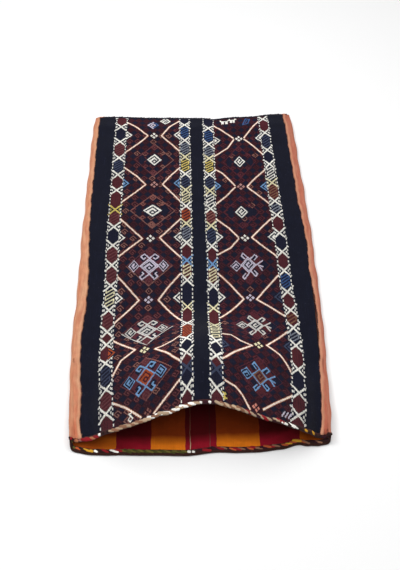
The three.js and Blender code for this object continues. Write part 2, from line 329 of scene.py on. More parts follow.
    def _ripple(self) -> None:
        """Lets the front lie a little uneven, as thick cloth does."""
        s = self.places[:, None] * self.half
        v = self.run[None]
        turn = 2 * math.pi
        wave = sum(
            rise * np.sin(turn * (v / long + s / wide + phase)) for rise, long, wide, phase in self.waves
        )
        around = np.abs(self.places)[:, None]
        weight = (1 - ease((around - 0.85) / 0.3)) * ease(v / 0.1)
        self.table[:, :, 2] += self.ripple * wave * weight * (1 + 1.2 * ease((v - 0.7) / 0.3))
        side = ease((around - 0.9) / 0.25) * (1 - ease((around - 1.75) / 0.3))
        lump = np.sin(turn * (v / 0.17 + 0.3)) + 0.8 * np.sin(turn * (v / 0.083 + 0.3 * np.sign(s)))
        self.table[:, :, 0] += np.sign(s) * self.side_lump * lump * side * ease(v / 0.08)

    def sample(self, place: np.ndarray, v: np.ndarray) -> tuple[np.ndarray, ...]:
        """Reads the shape anywhere.

        Args:
            place: Places round the sack.
            v: Distances from the bottom seam, in metres.

        Returns:
            Points on the middle of the cloth, and the unit directions across, along and out.
        """
        place, v = np.broadcast_arrays(np.asarray(place, float), np.asarray(v, float))
        a = np.clip((place + 3) / 6, 0, 1) * (len(self.places) - 1)
        b = np.clip(v / self.length, 0, 1) * (self.stations - 1)
        i = np.minimum(a.astype(int), len(self.places) - 2)
        j = np.minimum(b.astype(int), self.stations - 2)
        u, w = (a - i)[..., None], (b - j)[..., None]

        def read(grid: np.ndarray) -> np.ndarray:
            """Blends the four nearest values of a table."""
            near = grid[i, j] * (1 - u) + grid[i + 1, j] * u
            far = grid[i, j + 1] * (1 - u) + grid[i + 1, j + 1] * u
            return near * (1 - w) + far * w

        return tuple(read(grid) for grid in (self.table, self.across, self.along, self.out))

    def front(self, s: np.ndarray, v: np.ndarray, lift: np.ndarray) -> tuple[np.ndarray, ...]:
        """Reads the front's shape at distances across it.

        Args:
            s: Distances from the middle line, in metres.
            v: Distances from the bottom seam, in metres.
            lift: Heights above the middle of the cloth.

        Returns:
            Points, and the unit directions across, along and out.
        """
        at, across, along, out = self.sample(np.asarray(s) / self.half, v)
        return at + out * np.asarray(lift)[..., None], across, along, out


# Materials


def new_group(name: str, sockets: Iterable[tuple[str, str, str]]) -> bpy.types.NodeTree:
    """Starts a shader group with its sockets.

    Args:
        name: Name of the group.
        sockets: Name, INPUT or OUTPUT, and socket type of each.

    Returns:
        The new group.
    """
    tree = bpy.data.node_groups.new(name, "ShaderNodeTree")
    for label, way, kind in sockets:
        tree.interface.new_socket(label, in_out=way, socket_type=kind)
    return tree


class Wiring:
    """Short ways to add and join nodes in one tree."""

    def __init__(self, tree: bpy.types.NodeTree) -> None:
        """Keeps the tree."""
        self.tree = tree

    def add(self, kind: str, **values: object) -> bpy.types.Node:
        """Adds a node and sets its properties.

        Args:
            kind: Blender's type name of the node.
            values: Properties to set on it.

        Returns:
            The new node.
        """
        node = self.tree.nodes.new(kind)
        for name, value in values.items():
            setattr(node, name, value)
        return node

    def join(self, start: bpy.types.NodeSocket, end: bpy.types.NodeSocket) -> None:
        """Links an output to an input."""
        self.tree.links.new(start, end)

    def feed(self, socket: bpy.types.NodeSocket, value: object) -> None:
        """Links a socket or sets a plain value."""
        if isinstance(value, bpy.types.NodeSocket):
            self.join(value, socket)
        else:
            socket.default_value = value

    def math(self, operation: str, *values: object) -> bpy.types.NodeSocket:
        """Adds a math node.

        Args:
            operation: What it works out.
            values: Sockets or numbers that go in.

        Returns:
            Its result.
        """
        node = self.add("ShaderNodeMath", operation=operation)
        for socket, value in zip(node.inputs, values):
            self.feed(socket, value)
        return node.outputs[0]

    def mix(self, share: object, a: object, b: object, blend: str = "MIX") -> bpy.types.NodeSocket:
        """Mixes two colours.

        Args:
            share: How much of the second.
            a: First colour.
            b: Second colour.
            blend: Kind of mix.

        Returns:
            The mixed colour.
        """
        node = self.add("ShaderNodeMix", data_type="RGBA", blend_type=blend)
        self.feed(node.inputs[0], share)
        self.feed(node.inputs[6], a)
        self.feed(node.inputs[7], b)
        return node.outputs[2]

    def noise(self, vector: bpy.types.NodeSocket, scale: object, detail: float = 3) -> bpy.types.NodeSocket:
        """Adds a noise texture.

        Args:
            vector: Where it is read.
            scale: Its scale.
            detail: Its fine steps.

        Returns:
            Its value.
        """
        node = self.add("ShaderNodeTexNoise")
        self.join(vector, node.inputs["Vector"])
        self.feed(node.inputs["Scale"], scale)
        node.inputs["Detail"].default_value = detail
        return node.outputs["Fac"]

    def stretch(self, vector: bpy.types.NodeSocket, scale: Triple) -> bpy.types.NodeSocket:
        """Scales coordinates by a Mapping node and returns them."""
        node = self.add("ShaderNodeMapping")
        self.join(vector, node.inputs["Vector"])
        node.inputs["Scale"].default_value = scale
        return node.outputs[0]

    def ramp(self, share: bpy.types.NodeSocket, low: float, high: float) -> bpy.types.NodeSocket:
        """Spreads a value range over 0 to 1 and returns the result."""
        node = self.add("ShaderNodeMapRange")
        self.join(share, node.inputs[0])
        node.inputs[1].default_value, node.inputs[2].default_value = low, high
        return node.outputs[0]


class WoolGroups:
    """Shader groups that the wool finishes share."""

    def __init__(self) -> None:
        """Builds the groups."""
        self.fibre = self._fibre()
        self.weave = self._weave()

    def _fibre(self) -> bpy.types.NodeTree:
        """Uneven dye and loose fibres of spun wool.

        Returns:
            A group from a colour to its uneven colour and the height of its fibres.
        """
        tree = new_group(
            "WoolFibre",
            [
                ("Vector", "INPUT", "NodeSocketVector"),
                ("Color", "INPUT", "NodeSocketColor"),
                ("Uneven", "INPUT", "NodeSocketFloat"),
                ("Fineness", "INPUT", "NodeSocketFloat"),
                ("Color", "OUTPUT", "NodeSocketColor"),
                ("Height", "OUTPUT", "NodeSocketFloat"),
            ],
        )
        w = Wiring(tree)
        given, made = w.add("NodeGroupInput"), w.add("NodeGroupOutput")
        broad = w.noise(given.outputs["Vector"], 38.0, 4)
        fine = w.noise(given.outputs["Vector"], given.outputs["Fineness"], 2)
        both = w.math("ADD", w.math("MULTIPLY", broad, 0.55), w.math("MULTIPLY", fine, 0.45))
        swing = w.math("SUBTRACT", both, 0.5)
        level = w.math("MULTIPLY_ADD", swing, given.outputs["Uneven"], 1.0)
        shade = w.add("ShaderNodeCombineColor")
        for socket in shade.inputs[:3]:
            w.join(level, socket)
        w.join(w.mix(1.0, given.outputs["Color"], shade.outputs[0], "MULTIPLY"), made.inputs["Color"])
        w.join(fine, made.inputs["Height"])
        return tree

    def _weave(self) -> bpy.types.NodeTree:
        """Plain weave in cloth coordinates: rows of weft that bulge between the warps.

        Returns:
            A group from cloth coordinates to the height of the weave.
        """
        tree = new_group(
            "PlainWeave",
            [
                ("Vector", "INPUT", "NodeSocketVector"),
                ("Warps", "INPUT", "NodeSocketFloat"),
                ("Wefts", "INPUT", "NodeSocketFloat"),
                ("Height", "OUTPUT", "NodeSocketFloat"),
            ],
        )
        w = Wiring(tree)
        given, made = w.add("NodeGroupInput"), w.add("NodeGroupOutput")
        split = w.add("ShaderNodeSeparateXYZ")
        w.join(given.outputs["Vector"], split.inputs[0])
        loose = w.math("MULTIPLY", w.math("SUBTRACT", w.noise(given.outputs["Vector"], 60.0, 2), 0.5), 1.4)
        row = w.math("ADD", w.math("MULTIPLY", split.outputs[1], given.outputs["Wefts"]), loose)
        step = w.math("MULTIPLY", w.math("MODULO", w.math("FLOOR", row), 2.0), 0.5)
        column = w.math("ADD", w.math("MULTIPLY", split.outputs[0], given.outputs["Warps"]), step)
        rib = w.math("ABSOLUTE", w.math("SINE", w.math("MULTIPLY", row, math.pi)))
        bulge = w.math("ABSOLUTE", w.math("SINE", w.math("MULTIPLY", column, math.pi)))
        w.join(w.math("MULTIPLY", rib, w.math("MULTIPLY_ADD", bulge, 0.6, 0.4)), made.inputs["Height"])
        return tree


@dataclass(frozen=True)
class Wool:
    """A wool finish.

    Attributes:
        name: Name of the material.
        rough: Roughness.
        uneven: How far the dye swings from dark to light.
        fineness: Scale of the fibres.
        relief: Depth of the fibres and the weave in the bump.
        sheen: Soft light that loose fibres catch.
    """

    name: str
    rough: float = 0.92
    uneven: float = 0.9
    fineness: float = 900.0
    relief: float = 0.35
    sheen: float = 0.03

    def start(self) -> tuple[bpy.types.Material, Wiring, bpy.types.Node]:
        """Starts the material.

        Returns:
            The material, its wiring and its shader.
        """
        material = bpy.data.materials.new(self.name)
        material.use_nodes = True
        w = Wiring(material.node_tree)
        shader = material.node_tree.nodes["Principled BSDF"]
        shader.inputs["Roughness"].default_value = self.rough
        shader.inputs["Specular IOR Level"].default_value = 0.12
        shader.inputs["Sheen Weight"].default_value = self.sheen
        shader.inputs["Sheen Roughness"].default_value = 0.6
        return material, w, shader

    def start_cloth(
        self, groups: WoolGroups, warps: float, wefts: float
    ) -> tuple[bpy.types.Material, Wiring, bpy.types.Node, bpy.types.NodeSocket, bpy.types.NodeSocket]:
        """Starts the material of a woven cloth.

        Args:
            groups: Shared shader groups.
            warps: Warps in a metre.
            wefts: Wefts in a metre.

        Returns:
            The material, its wiring, its shader, its cloth coordinates and the height of its weave.
        """
        material, w, shader = self.start()
        uv = w.add("ShaderNodeUVMap", uv_map="Cloth").outputs[0]
        weave = w.add("ShaderNodeGroup", node_tree=groups.weave)
        w.join(uv, weave.inputs["Vector"])
        weave.inputs["Warps"].default_value, weave.inputs["Wefts"].default_value = warps, wefts
        return material, w, shader, uv, weave.outputs[0]

    def dress(
        self,
        groups: WoolGroups,
        w: Wiring,
        shader: bpy.types.Node,
        colour: object,
        where: bpy.types.NodeSocket,
        weave: Optional[bpy.types.NodeSocket] = None,
    ) -> None:
        """Joins a colour through the fibre group to the shader.

        Args:
            groups: Shared shader groups.
            w: Wiring of the material.
            shader: Its shader.
            colour: Colour before the fibres.
            where: Coordinates for the fibres.
            weave: Height of the weave, if any.
        """
        fibre = w.add("ShaderNodeGroup", node_tree=groups.fibre)
        w.join(where, fibre.inputs["Vector"])
        w.feed(fibre.inputs["Color"], colour)
        fibre.inputs["Uneven"].default_value = self.uneven
        fibre.inputs["Fineness"].default_value = self.fineness
        w.join(fibre.outputs["Color"], shader.inputs["Base Color"])
        height = fibre.outputs["Height"]
        if weave is not None:
            height = w.math("MULTIPLY_ADD", weave, 2.0, height)
        bump = w.add("ShaderNodeBump")
        bump.inputs["Strength"].default_value = self.relief
        bump.inputs["Distance"].default_value = 0.0008
        w.join(height, bump.inputs["Height"])
        w.join(bump.outputs[0], shader.inputs["Normal"])


def laid_yarn_wool(groups: WoolGroups, finish: Wool) -> bpy.types.Material:
    """Wool in the colour that each laid float carries.

    Args:
        groups: Shared shader groups.
        finish: The finish.

    Returns:
        The material.
    """
    material, w, shader = finish.start()
    colour = w.add("ShaderNodeAttribute", attribute_name="yarn")
    where = w.add("ShaderNodeTexCoord").outputs["Object"]
    finish.dress(groups, w, shader, colour.outputs["Color"], where)
    return material


def plain_wool(groups: WoolGroups, finish: Wool, colour: str) -> bpy.types.Material:
    """Wool of one dye.

    Args:
        groups: Shared shader groups.
        finish: The finish.
        colour: Its dye, as sRGB hex.

    Returns:
        The material.
    """
    material, w, shader = finish.start()
    where = w.add("ShaderNodeTexCoord").outputs["Object"]
    finish.dress(groups, w, shader, linear(colour), where)
    return material


# Meshes


def new_piece(
    name: str, points: np.ndarray, faces: Sequence[Sequence[int]], uv: Optional[np.ndarray] = None
) -> bpy.types.Object:
    """Makes a smooth mesh object.

    Args:
        name: Name of the piece.
        points: Its vertices.
        faces: Its faces, as vertex numbers.
        uv: Cloth coordinates of each vertex.

    Returns:
        The linked object.
    """
    mesh = bpy.data.meshes.new(name)
    mesh.from_pydata(points.tolist(), [], faces)
    mesh.polygons.foreach_set("use_smooth", np.ones(len(mesh.polygons), bool))
    if uv is not None:
        layer = mesh.uv_layers.new(name="Cloth")
        corner = np.zeros(len(mesh.loops), int)
        mesh.loops.foreach_get("vertex_index", corner)
        layer.data.foreach_set("uv", uv[corner].astype(np.float32).ravel())
    mesh.update()
    piece = bpy.data.objects.new(name, mesh)
    bpy.context.collection.objects.link(piece)
    return piece


def shell(
    name: str, shape: ClothShape, place: np.ndarray, v: np.ndarray, outer: np.ndarray, inner: np.ndarray,
    uv: np.ndarray,
) -> bpy.types.Object:
    """A closed cloth with thickness.

    Args:
        name: Name of the piece.
        shape: The sack's form.
        place: Places round the sack, columns by rows, in rising order over the columns.
        v: Distances from the bottom seam, columns by rows.
        outer: Heights of the outer face above the middle of the cloth.
        inner: Heights of the inner face.
        uv: Cloth coordinates, columns by rows by two.

    Returns:
        The piece.
    """
    at, _, _, out = shape.sample(place, v)
    columns, rows = place.shape
    points = np.concatenate([(at + out * h[..., None]).reshape(-1, 3) for h in (outer, inner)])
    number = np.arange(columns * rows).reshape(columns, rows)
    low = number + columns * rows
    quads = [
        np.stack([number[:-1, :-1], number[:-1, 1:], number[1:, 1:], number[1:, :-1]], -1).reshape(-1, 4),
        np.stack([low[:-1, :-1], low[1:, :-1], low[1:, 1:], low[:-1, 1:]], -1).reshape(-1, 4),
    ]
    rim = np.concatenate([number[:-1, 0], number[-1, :-1], number[:0:-1, -1], number[0, :0:-1]])
    turn, drop = np.roll(rim, -1), columns * rows
    quads.append(np.stack([rim, turn, turn + drop, rim + drop], -1))
    return new_piece(name, points, np.concatenate(quads).tolist(), np.tile(uv.reshape(-1, 2), (2, 1)))


def tube(name: str, rings: np.ndarray) -> bpy.types.Object:
    """A closed tube through rings of points.

    Args:
        name: Name of the piece.
        rings: Rings by points by three.

    Returns:
        The piece.
    """
    count, sides = rings.shape[:2]
    number = np.arange(count * sides).reshape(count, sides)
    beside = np.roll(number, -1, axis=1)
    quads = np.stack([number[:-1], beside[:-1], beside[1:], number[1:]], -1).reshape(-1, 4).tolist()
    quads += [number[0, ::-1].tolist(), number[-1].tolist()]
    step = (0.004, 0.003)
    uv = np.stack(np.divmod(np.arange(count * sides), sides), -1) * step
    return new_piece(name, rings.reshape(-1, 3), quads, uv)


def finish_piece(
    piece: bpy.types.Object,
    nodes: Sequence[str] = (),
    material: Optional[bpy.types.Material] = None,
) -> bpy.types.Object:
    """Dresses a piece and ties it to the frame.

    Args:
        piece: The piece.
        nodes: CAD nodes that it stands for.
        material: Its material, if it has none yet.

    Returns:
        The piece.
    """
    if material is not None:
        piece.data.materials.clear()
        piece.data.materials.append(material)
    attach(piece, "root")
    if nodes:
        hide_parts(*nodes)
    log.info("%s: %d faces", piece.name, len(piece.data.polygons))
    return piece


class YarnLayer:
    """Lays copies of one yarn shape at given points, by Geometry Nodes."""

    def __init__(self, shape: bpy.types.Object, wool: bpy.types.Material, uneven: float = 0.1) -> None:
        """Keeps the shape and builds the tree.

        Args:
            shape: The object that is laid.
            wool: Material of the laid yarn.
            uneven: How far the sizes swing.
        """
        self.shape, self.wool, self.uneven = shape, wool, uneven
        self.tree = bpy.data.node_groups.get("LaidYarn") or self._tree()

    @staticmethod
    def _tree() -> bpy.types.NodeTree:
        """Builds the tree that sets the shape on each point, turned and sized by its attributes.

        Returns:
            The tree.
        """
        tree = bpy.data.node_groups.new("LaidYarn", "GeometryNodeTree")
        for label, kind in (
            ("Geometry", "NodeSocketGeometry"),
            ("Yarn Shape", "NodeSocketObject"),
            ("Uneven", "NodeSocketFloat"),
            ("Seed", "NodeSocketInt"),
            ("Wool", "NodeSocketMaterial"),
        ):
            tree.interface.new_socket(label, in_out="INPUT", socket_type=kind)
        tree.interface.new_socket("Geometry", in_out="OUTPUT", socket_type="NodeSocketGeometry")
        w = Wiring(tree)
        given, made = w.add("NodeGroupInput"), w.add("NodeGroupOutput")
        read = {}
        for label in ("out", "weft", "size"):
            read[label] = w.add("GeometryNodeInputNamedAttribute", data_type="FLOAT_VECTOR")
            read[label].inputs["Name"].default_value = label
        turn = w.add("FunctionNodeAxesToRotation", primary_axis="Z", secondary_axis="X")
        w.join(read["out"].outputs["Attribute"], turn.inputs[0])
        w.join(read["weft"].outputs["Attribute"], turn.inputs[1])
        swing = w.add("FunctionNodeRandomValue", data_type="FLOAT_VECTOR")
        for socket, sign in ((swing.inputs[0], -1.0), (swing.inputs[1], 1.0)):
            reach = w.add("ShaderNodeMath", operation="MULTIPLY_ADD")
            w.join(given.outputs["Uneven"], reach.inputs[0])
            reach.inputs[1].default_value, reach.inputs[2].default_value = sign, 1.0
            w.join(reach.outputs[0], socket)
        w.join(given.outputs["Seed"], swing.inputs["Seed"])
        size = w.add("ShaderNodeVectorMath", operation="MULTIPLY")
        w.join(read["size"].outputs["Attribute"], size.inputs[0])
        w.join(swing.outputs[0], size.inputs[1])
        thing = w.add("GeometryNodeObjectInfo")
        w.join(given.outputs["Yarn Shape"], thing.inputs["Object"])
        lay = w.add("GeometryNodeInstanceOnPoints")
        w.join(given.outputs["Geometry"], lay.inputs["Points"])
        w.join(thing.outputs["Geometry"], lay.inputs["Instance"])
        w.join(turn.outputs[0], lay.inputs["Rotation"])
        w.join(size.outputs[0], lay.inputs["Scale"])
        real = w.add("GeometryNodeRealizeInstances")
        w.join(lay.outputs[0], real.inputs[0])
        paint = w.add("GeometryNodeSetMaterial")
        w.join(real.outputs[0], paint.inputs["Geometry"])
        w.join(given.outputs["Wool"], paint.inputs["Material"])
        w.join(paint.outputs[0], made.inputs[0])
        return tree

    def lay(
        self, name: str, at: np.ndarray, out: np.ndarray, weft: np.ndarray, size: np.ndarray,
        yarns: Sequence[Yarn], seed: int,
    ) -> bpy.types.Object:
        """Lays the yarn.

        Args:
            name: Name of the piece.
            at: Where each copy lies.
            out: Its normal.
            weft: The way that it runs.
            size: Its length, width and height.
            yarns: Its yarn.
            seed: Seed of the uneven sizes.

        Returns:
            The piece, as a plain mesh.
        """
        mesh = bpy.data.meshes.new(name)
        mesh.from_pydata(at.tolist(), [], [])
        for label, values in (("out", out), ("weft", weft), ("size", size)):
            layer = mesh.attributes.new(label, "FLOAT_VECTOR", "POINT")
            layer.data.foreach_set("vector", np.ascontiguousarray(values, np.float32).ravel())
        dye = {yarn: linear(yarn.value) for yarn in set(yarns)}
        rng = np.random.default_rng(seed)
        tint = np.array([dye[yarn] for yarn in yarns], np.float32)
        tint[:, :3] *= rng.normal(1, 0.07, (len(tint), 1)).clip(0.8, 1.2)
        layer = mesh.attributes.new("yarn", "FLOAT_COLOR", "POINT")
        layer.data.foreach_set("color", tint.ravel())
        piece = bpy.data.objects.new(name, mesh)
        bpy.context.collection.objects.link(piece)
        modifier = piece.modifiers.new("Laid yarn", "NODES")
        modifier.node_group = self.tree
        values = {"Yarn Shape": self.shape, "Uneven": self.uneven, "Seed": seed, "Wool": self.wool}
        for item in self.tree.interface.items_tree:
            if item.in_out == "INPUT" and item.name in values:
                modifier[item.identifier] = values[item.name]
        graph = bpy.context.evaluated_depsgraph_get()
        made = bpy.data.meshes.new_from_object(
            piece.evaluated_get(graph), preserve_all_data_layers=True, depsgraph=graph
        )
        piece.modifiers.clear()
        piece.data = made
        bpy.data.meshes.remove(mesh)
        made.name = name
        for label in ("out", "weft", "size"):
            if label in made.attributes:
                made.attributes.remove(made.attributes[label])
        return piece


def shape_object(
    name: str, points: Sequence[Sequence[float]], faces: Sequence[Sequence[int]]
) -> bpy.types.Object:
    """A small smooth shape that is laid many times, kept out of the scene.

    Args:
        name: Its name.
        points: Its vertices.
        faces: Its faces.

    Returns:
        The object, which is in no collection.
    """
    mesh = bpy.data.meshes.new(name)
    mesh.from_pydata(points, [], faces)
    mesh.polygons.foreach_set("use_smooth", np.ones(len(mesh.polygons), bool))
    return bpy.data.objects.new(name, mesh)


def rib_shape() -> bpy.types.Object:
    """One plain float of the ground of unit size: a low ridge along x."""
    end = ((0.5, -0.5, -0.2), (0.5, 0.5, -0.2), (0.36, 0, 0.8))
    points = [(side * x, y, z) for side in (-1, 1) for x, y, z in end]
    faces = [[0, 2, 1], [3, 4, 5], [0, 1, 4, 3], [0, 3, 5, 2], [1, 2, 5, 4]]
    return shape_object("rib_shape", points, faces)


def float_shape() -> bpy.types.Object:
    """One float of a motif of unit size, lying along x, flat below with a ridge above."""
    profile = [(-0.5, -0.2), (0.0, 0.8), (0.5, -0.2)]
    points = [(-0.5, 0.0, 0.1)]
    points += [(x, y, z) for x in (-0.38, 0.38) for y, z in profile]
    points.append((0.5, 0.0, 0.1))
    faces = [[0, 1 + (k + 1) % 3, 1 + k] for k in range(3)]
    faces += [[1 + k, 1 + (k + 1) % 3, 4 + (k + 1) % 3, 4 + k] for k in range(3)]
    faces += [[7, 4 + k, 4 + (k + 1) % 3] for k in range(3)]
    return shape_object("float_shape", points, faces)


def stitch_shape() -> bpy.types.Object:
    """One long stitch of unit size, lying along x, round with blunt ends."""
    sides = 6
    rings = ((-0.5, 0.22), (-0.4, 0.45), (0.0, 0.5), (0.4, 0.45), (0.5, 0.22))
    turn = [2 * math.pi * n / sides for n in range(sides)]
    points = [(x, reach * math.cos(a), reach * math.sin(a)) for x, reach in rings for a in turn]
    faces = [
        [k * sides + n, k * sides + (n + 1) % sides, (k + 1) * sides + (n + 1) % sides, (k + 1) * sides + n]
        for k in range(len(rings) - 1)
        for n in range(sides)
    ]
    last = (len(rings) - 1) * sides
    faces += [list(range(sides))[::-1], [last + n for n in range(sides)]]
    return shape_object("stitch_shape", points, faces)


# The weaving chart and the motifs, in millimetres: s across from the middle, v from the bottom seam


FAR = 9999
EVERYWHERE: Box = (-FAR, FAR, -FAR, FAR)


class Chart:
    """A weaving chart: which yarn floats over which warps, row by row."""

    def __init__(self, left: float, right: float, top: float, bottom: float, warp: float, row: float) -> None:
        """Makes an empty chart.

        Args:
            left: Left edge.
            right: Right edge.
            top: First row.
            bottom: Last row.
            warp: Width of a column.
            row: Height of a row.
        """
        self.warp, self.row = warp, row
        self.s = np.arange(left + warp / 2, right, warp)
        self.v = np.arange(top + row / 2, bottom, row)
        self.grid_s, self.grid_v = np.meshgrid(self.s, self.v)
        self.cells = np.zeros(self.grid_s.shape, np.int16)

    def paint(self, mask: np.ndarray, yarn: Yarn) -> None:
        """Sets the yarn where a mask of the whole chart is true."""
        self.cells[mask] = YARNS.index(yarn)

    def window(self, s0: float, s1: float, v0: float, v1: float) -> tuple[slice, slice]:
        """The part of the chart inside a box, as row and column slices."""
        rows = slice(*np.searchsorted(self.v, (v0, v1)))
        return rows, slice(*np.searchsorted(self.s, (s0, s1)))

    def stroke(self, path: Sequence[Point], width: float, yarn: Yarn) -> None:
        """Draws a line.

        Args:
            path: Its corners.
            width: Its width.
            yarn: Its yarn.
        """
        for (s0, v0), (s1, v1) in zip(path, path[1:]):
            edge = width / 2 + 1
            at = self.window(min(s0, s1) - edge, max(s0, s1) + edge, min(v0, v1) - edge, max(v0, v1) + edge)
            x, y = self.grid_s[at] - s0, self.grid_v[at] - v0
            run = max((s1 - s0) ** 2 + (v1 - v0) ** 2, 1e-9)
            t = np.clip((x * (s1 - s0) + y * (v1 - v0)) / run, 0, 1)
            near = np.hypot(x - t * (s1 - s0), y - t * (v1 - v0)) < width / 2
            self.cells[at][near] = YARNS.index(yarn)

    def diamond(
        self, at: Point, half: Point, yarn: Yarn, inside: float = 0.0, keep: Optional[Box] = None
    ) -> None:
        """Draws a diamond or a diamond ring.

        Args:
            at: Its middle.
            half: Half its width and height.
            yarn: Its yarn.
            inside: Share of the size that stays open.
            keep: Left, right, top and bottom bounds of what is drawn.
        """
        s, v = at
        left, right, top, bottom = keep or EVERYWHERE
        where = self.window(
            max(s - half[0], left), min(s + half[0], right), max(v - half[1], top), min(v + half[1], bottom)
        )
        r = np.abs(self.grid_s[where] - s) / half[0] + np.abs(self.grid_v[where] - v) / half[1]
        self.cells[where][(r <= 1) & (r >= inside)] = YARNS.index(yarn)

    def figure(
        self, at: Point, paths: Sequence[Sequence[Point]], width: float, yarn: Yarn, scale: Point = (1, 1)
    ) -> None:
        """Draws several lines about a middle.

        Args:
            at: The middle.
            paths: Corners of each line from the middle.
            width: Width of the lines.
            yarn: Their yarn.
            scale: Stretch of the figure.
        """
        for path in paths:
            self.stroke([(at[0] + x * scale[0], at[1] + y * scale[1]) for x, y in path], width, yarn)

    def floats(self, longest: dict[Yarn, int]) -> tuple[np.ndarray, np.ndarray, np.ndarray, list[Yarn]]:
        """Cuts every row into floats of one yarn.

        Args:
            longest: Most columns that one float covers, for yarns of the ground.

        Returns:
            Middles across and along, lengths, and yarns.
        """
        middles, lines, lengths, yarns = [], [], [], []
        for r, row in enumerate(self.cells):
            cuts = np.flatnonzero(np.diff(row)) + 1
            for a, b in zip(np.concatenate([[0], cuts]), np.concatenate([cuts, [len(row)]])):
                yarn = YARNS[row[a]]
                if yarn is Yarn.NONE:
                    continue
                most = longest.get(yarn, 4)
                stops = [a, *[c for c in range(a + 1, b) if (c + (r % 2) * (most // 2)) % most == 0], b]
                for c, d in zip(stops, stops[1:]):
                    middles.append(self.s[c] + (d - c - 1) * self.warp / 2)
                    lines.append(self.v[r])
                    lengths.append((d - c) * self.warp)
                    yarns.append(yarn)
        return np.array(middles), np.array(lines), np.array(lengths), yarns


@dataclass(frozen=True)
class BorderRow:
    """A crossing of a border and the cell that follows it."""

    v: float
    cross: Yarn
    fill: Yarn
    hooks: Optional[Yarn] = None


@dataclass(frozen=True)
class Border:
    """One patterned border down the front: its edges, crossings and cells."""

    edges: Sequence[Triple]
    rows: Sequence[BorderRow]
    dash: Point = (3.0, 7.0)
    dash_pitch: float = 13.3
    arm: float = 19.0
    arm_width: float = 5.4

    def span(self, v: np.ndarray) -> tuple[np.ndarray, np.ndarray]:
        """Left and right edges at distances from the bottom seam."""
        knots = np.array(self.edges)
        return np.interp(v, knots[:, 0], knots[:, 1]), np.interp(v, knots[:, 0], knots[:, 2])

    def draw(self, chart: Chart) -> None:
        """Draws the border.

        Args:
            chart: The chart.
        """
        left, right = self.span(chart.v)
        share = (chart.grid_s - left[:, None]) / (right - left)[:, None]
        inside = (share > 0) & (share < 1)
        chart.paint(inside, Yarn.WINE)
        for row, after in zip(self.rows, [*self.rows[1:], None]):
            end = after.v if after else self.rows[-1].v + 70
            self._cell(chart, row, end, inside)
        for row in self.rows:
            self._crossing(chart, row)
        on = chart.v % self.dash_pitch < self.dash[1]
        width = (right - left)[:, None]
        edge = (share * width < self.dash[0]) | ((1 - share) * width < self.dash[0])
        chart.paint(inside & edge, Yarn.NAVY)
        chart.paint(inside & edge & on[:, None], Yarn.WHITE)

    def _cell(self, chart: Chart, row: BorderRow, end: float, inside: np.ndarray) -> None:
        """Fills the six-sided cell between two crossings, with slanting hooks where it has them."""
        cell = inside & (chart.grid_v > row.v) & (chart.grid_v < end)
        chart.paint(cell, row.fill)
        if row.hooks is None:
            return
        left, right = (float(x) for x in self.span(np.array((row.v + end) / 2)))
        middle, half = (left + right) / 2, (right - left) / 2 - self.dash[0]
        v0, v1 = row.v + 11, end - 11
        bars = max(2, round((v1 - v0) / 11))
        for k in range(bars):
            v = v0 + (v1 - v0) * (k + 0.5) / bars
            lean = half * 0.75
            chart.stroke([(middle - lean, v + lean * 0.7), (middle + lean, v - lean * 0.7)], 3.8, row.hooks)
            side = 1 if k % 2 else -1
            tip = (middle + side * lean, v - side * lean * 0.7)
            chart.stroke([tip, (tip[0], tip[1] + side * 8)], 3.6, row.hooks)

    def _crossing(self, chart: Chart, row: BorderRow) -> None:
        """Draws two crossed arms, with a small triangle on each side."""
        left, right = (float(x) for x in self.span(np.array(row.v)))
        middle, half = (left + right) / 2, (right - left) / 2
        tip = self.arm
        shade = (np.abs(chart.grid_s - middle) < half) & (
            np.abs(chart.grid_v - row.v) < tip * np.abs(chart.grid_s - middle) / half
        )
        chart.paint(shade, Yarn.NAVY)
        for side in (-1, 1):
            edge = middle + side * half
            chart.stroke([(edge - side * 5.5, row.v - 2), (edge - side * 5.5, row.v + 2)], 3.6, row.cross)
        for side in (-1, 1):
            ends = (middle - half, row.v - side * tip), (middle + half, row.v + side * tip)
            chart.stroke(ends, self.arm_width, row.cross)


class Panel(Enum):
    """The two brocaded fields."""

    LEFT = -1
    RIGHT = 1


@dataclass(frozen=True)
class Medallion:
    """One medallion: its middle, size and yarns."""

    at: Point
    half: Point
    yarn: Yarn
    outline: Yarn
    frame: Point = (64, 73)
    hooked: bool = False
    heart: Optional[Yarn] = None
    right_outline: Optional[Yarn] = None
    lower_outline: Optional[Yarn] = None


# A hooked medallion about its middle: lines of its hooks, middles and sizes of its dark gaps and of its arms
LEFT_HOOKS: Sequence[Sequence[Point]] = (
    ((0, -28), (-15, -43), (-25, -33.5), (-17, -24), (-12, -29)),
    ((0, -28), (15, -43), (26, -33.5), (17, -24), (12, -29)),
    ((0, 29), (-20, 47), (-26, 38), (-15, 27), (-19, 22)),
    ((2, 29), (15, 46), (25, 37), (17, 28), (21, 24)),
)
RIGHT_HOOKS: Sequence[Sequence[Point]] = (
    ((-2, -27), (-14, -41), (-18.5, -32), (-10, -22)),
    ((6, -20), (20, -35), (27, -27.5), (18.5, -17.5)),
    ((-1, 29), (-14, 48), (-18.5, 40), (-9.5, 28)),
    ((6, 21), (18, 38), (24, 30), (16, 20)),
    ((22, 0), (41, -14)),
    ((27, 0), (40.5, 6)),
    ((29, 2), (38, 18)),
)
LEFT_GAPS: Sequence[tuple[Point, Point]] = (
    ((-16, -33), (7, 7)), ((16, -33), (7, 7)), ((-16, 36), (7, 8)), ((15, 36), (7, 8)),
)
RIGHT_GAPS: Sequence[tuple[Point, Point]] = (
    ((-12, -31), (5, 8)), ((18, -26), (6, 8)), ((-12, 38), (5, 9)), ((17, 29), (6, 8)), ((46, 0), (14, 16)),
)
LEFT_ARMS: Sequence[tuple[Point, Point]] = (((-44, 0), (16, 21.5)), ((40, 0), (16, 21.5)))
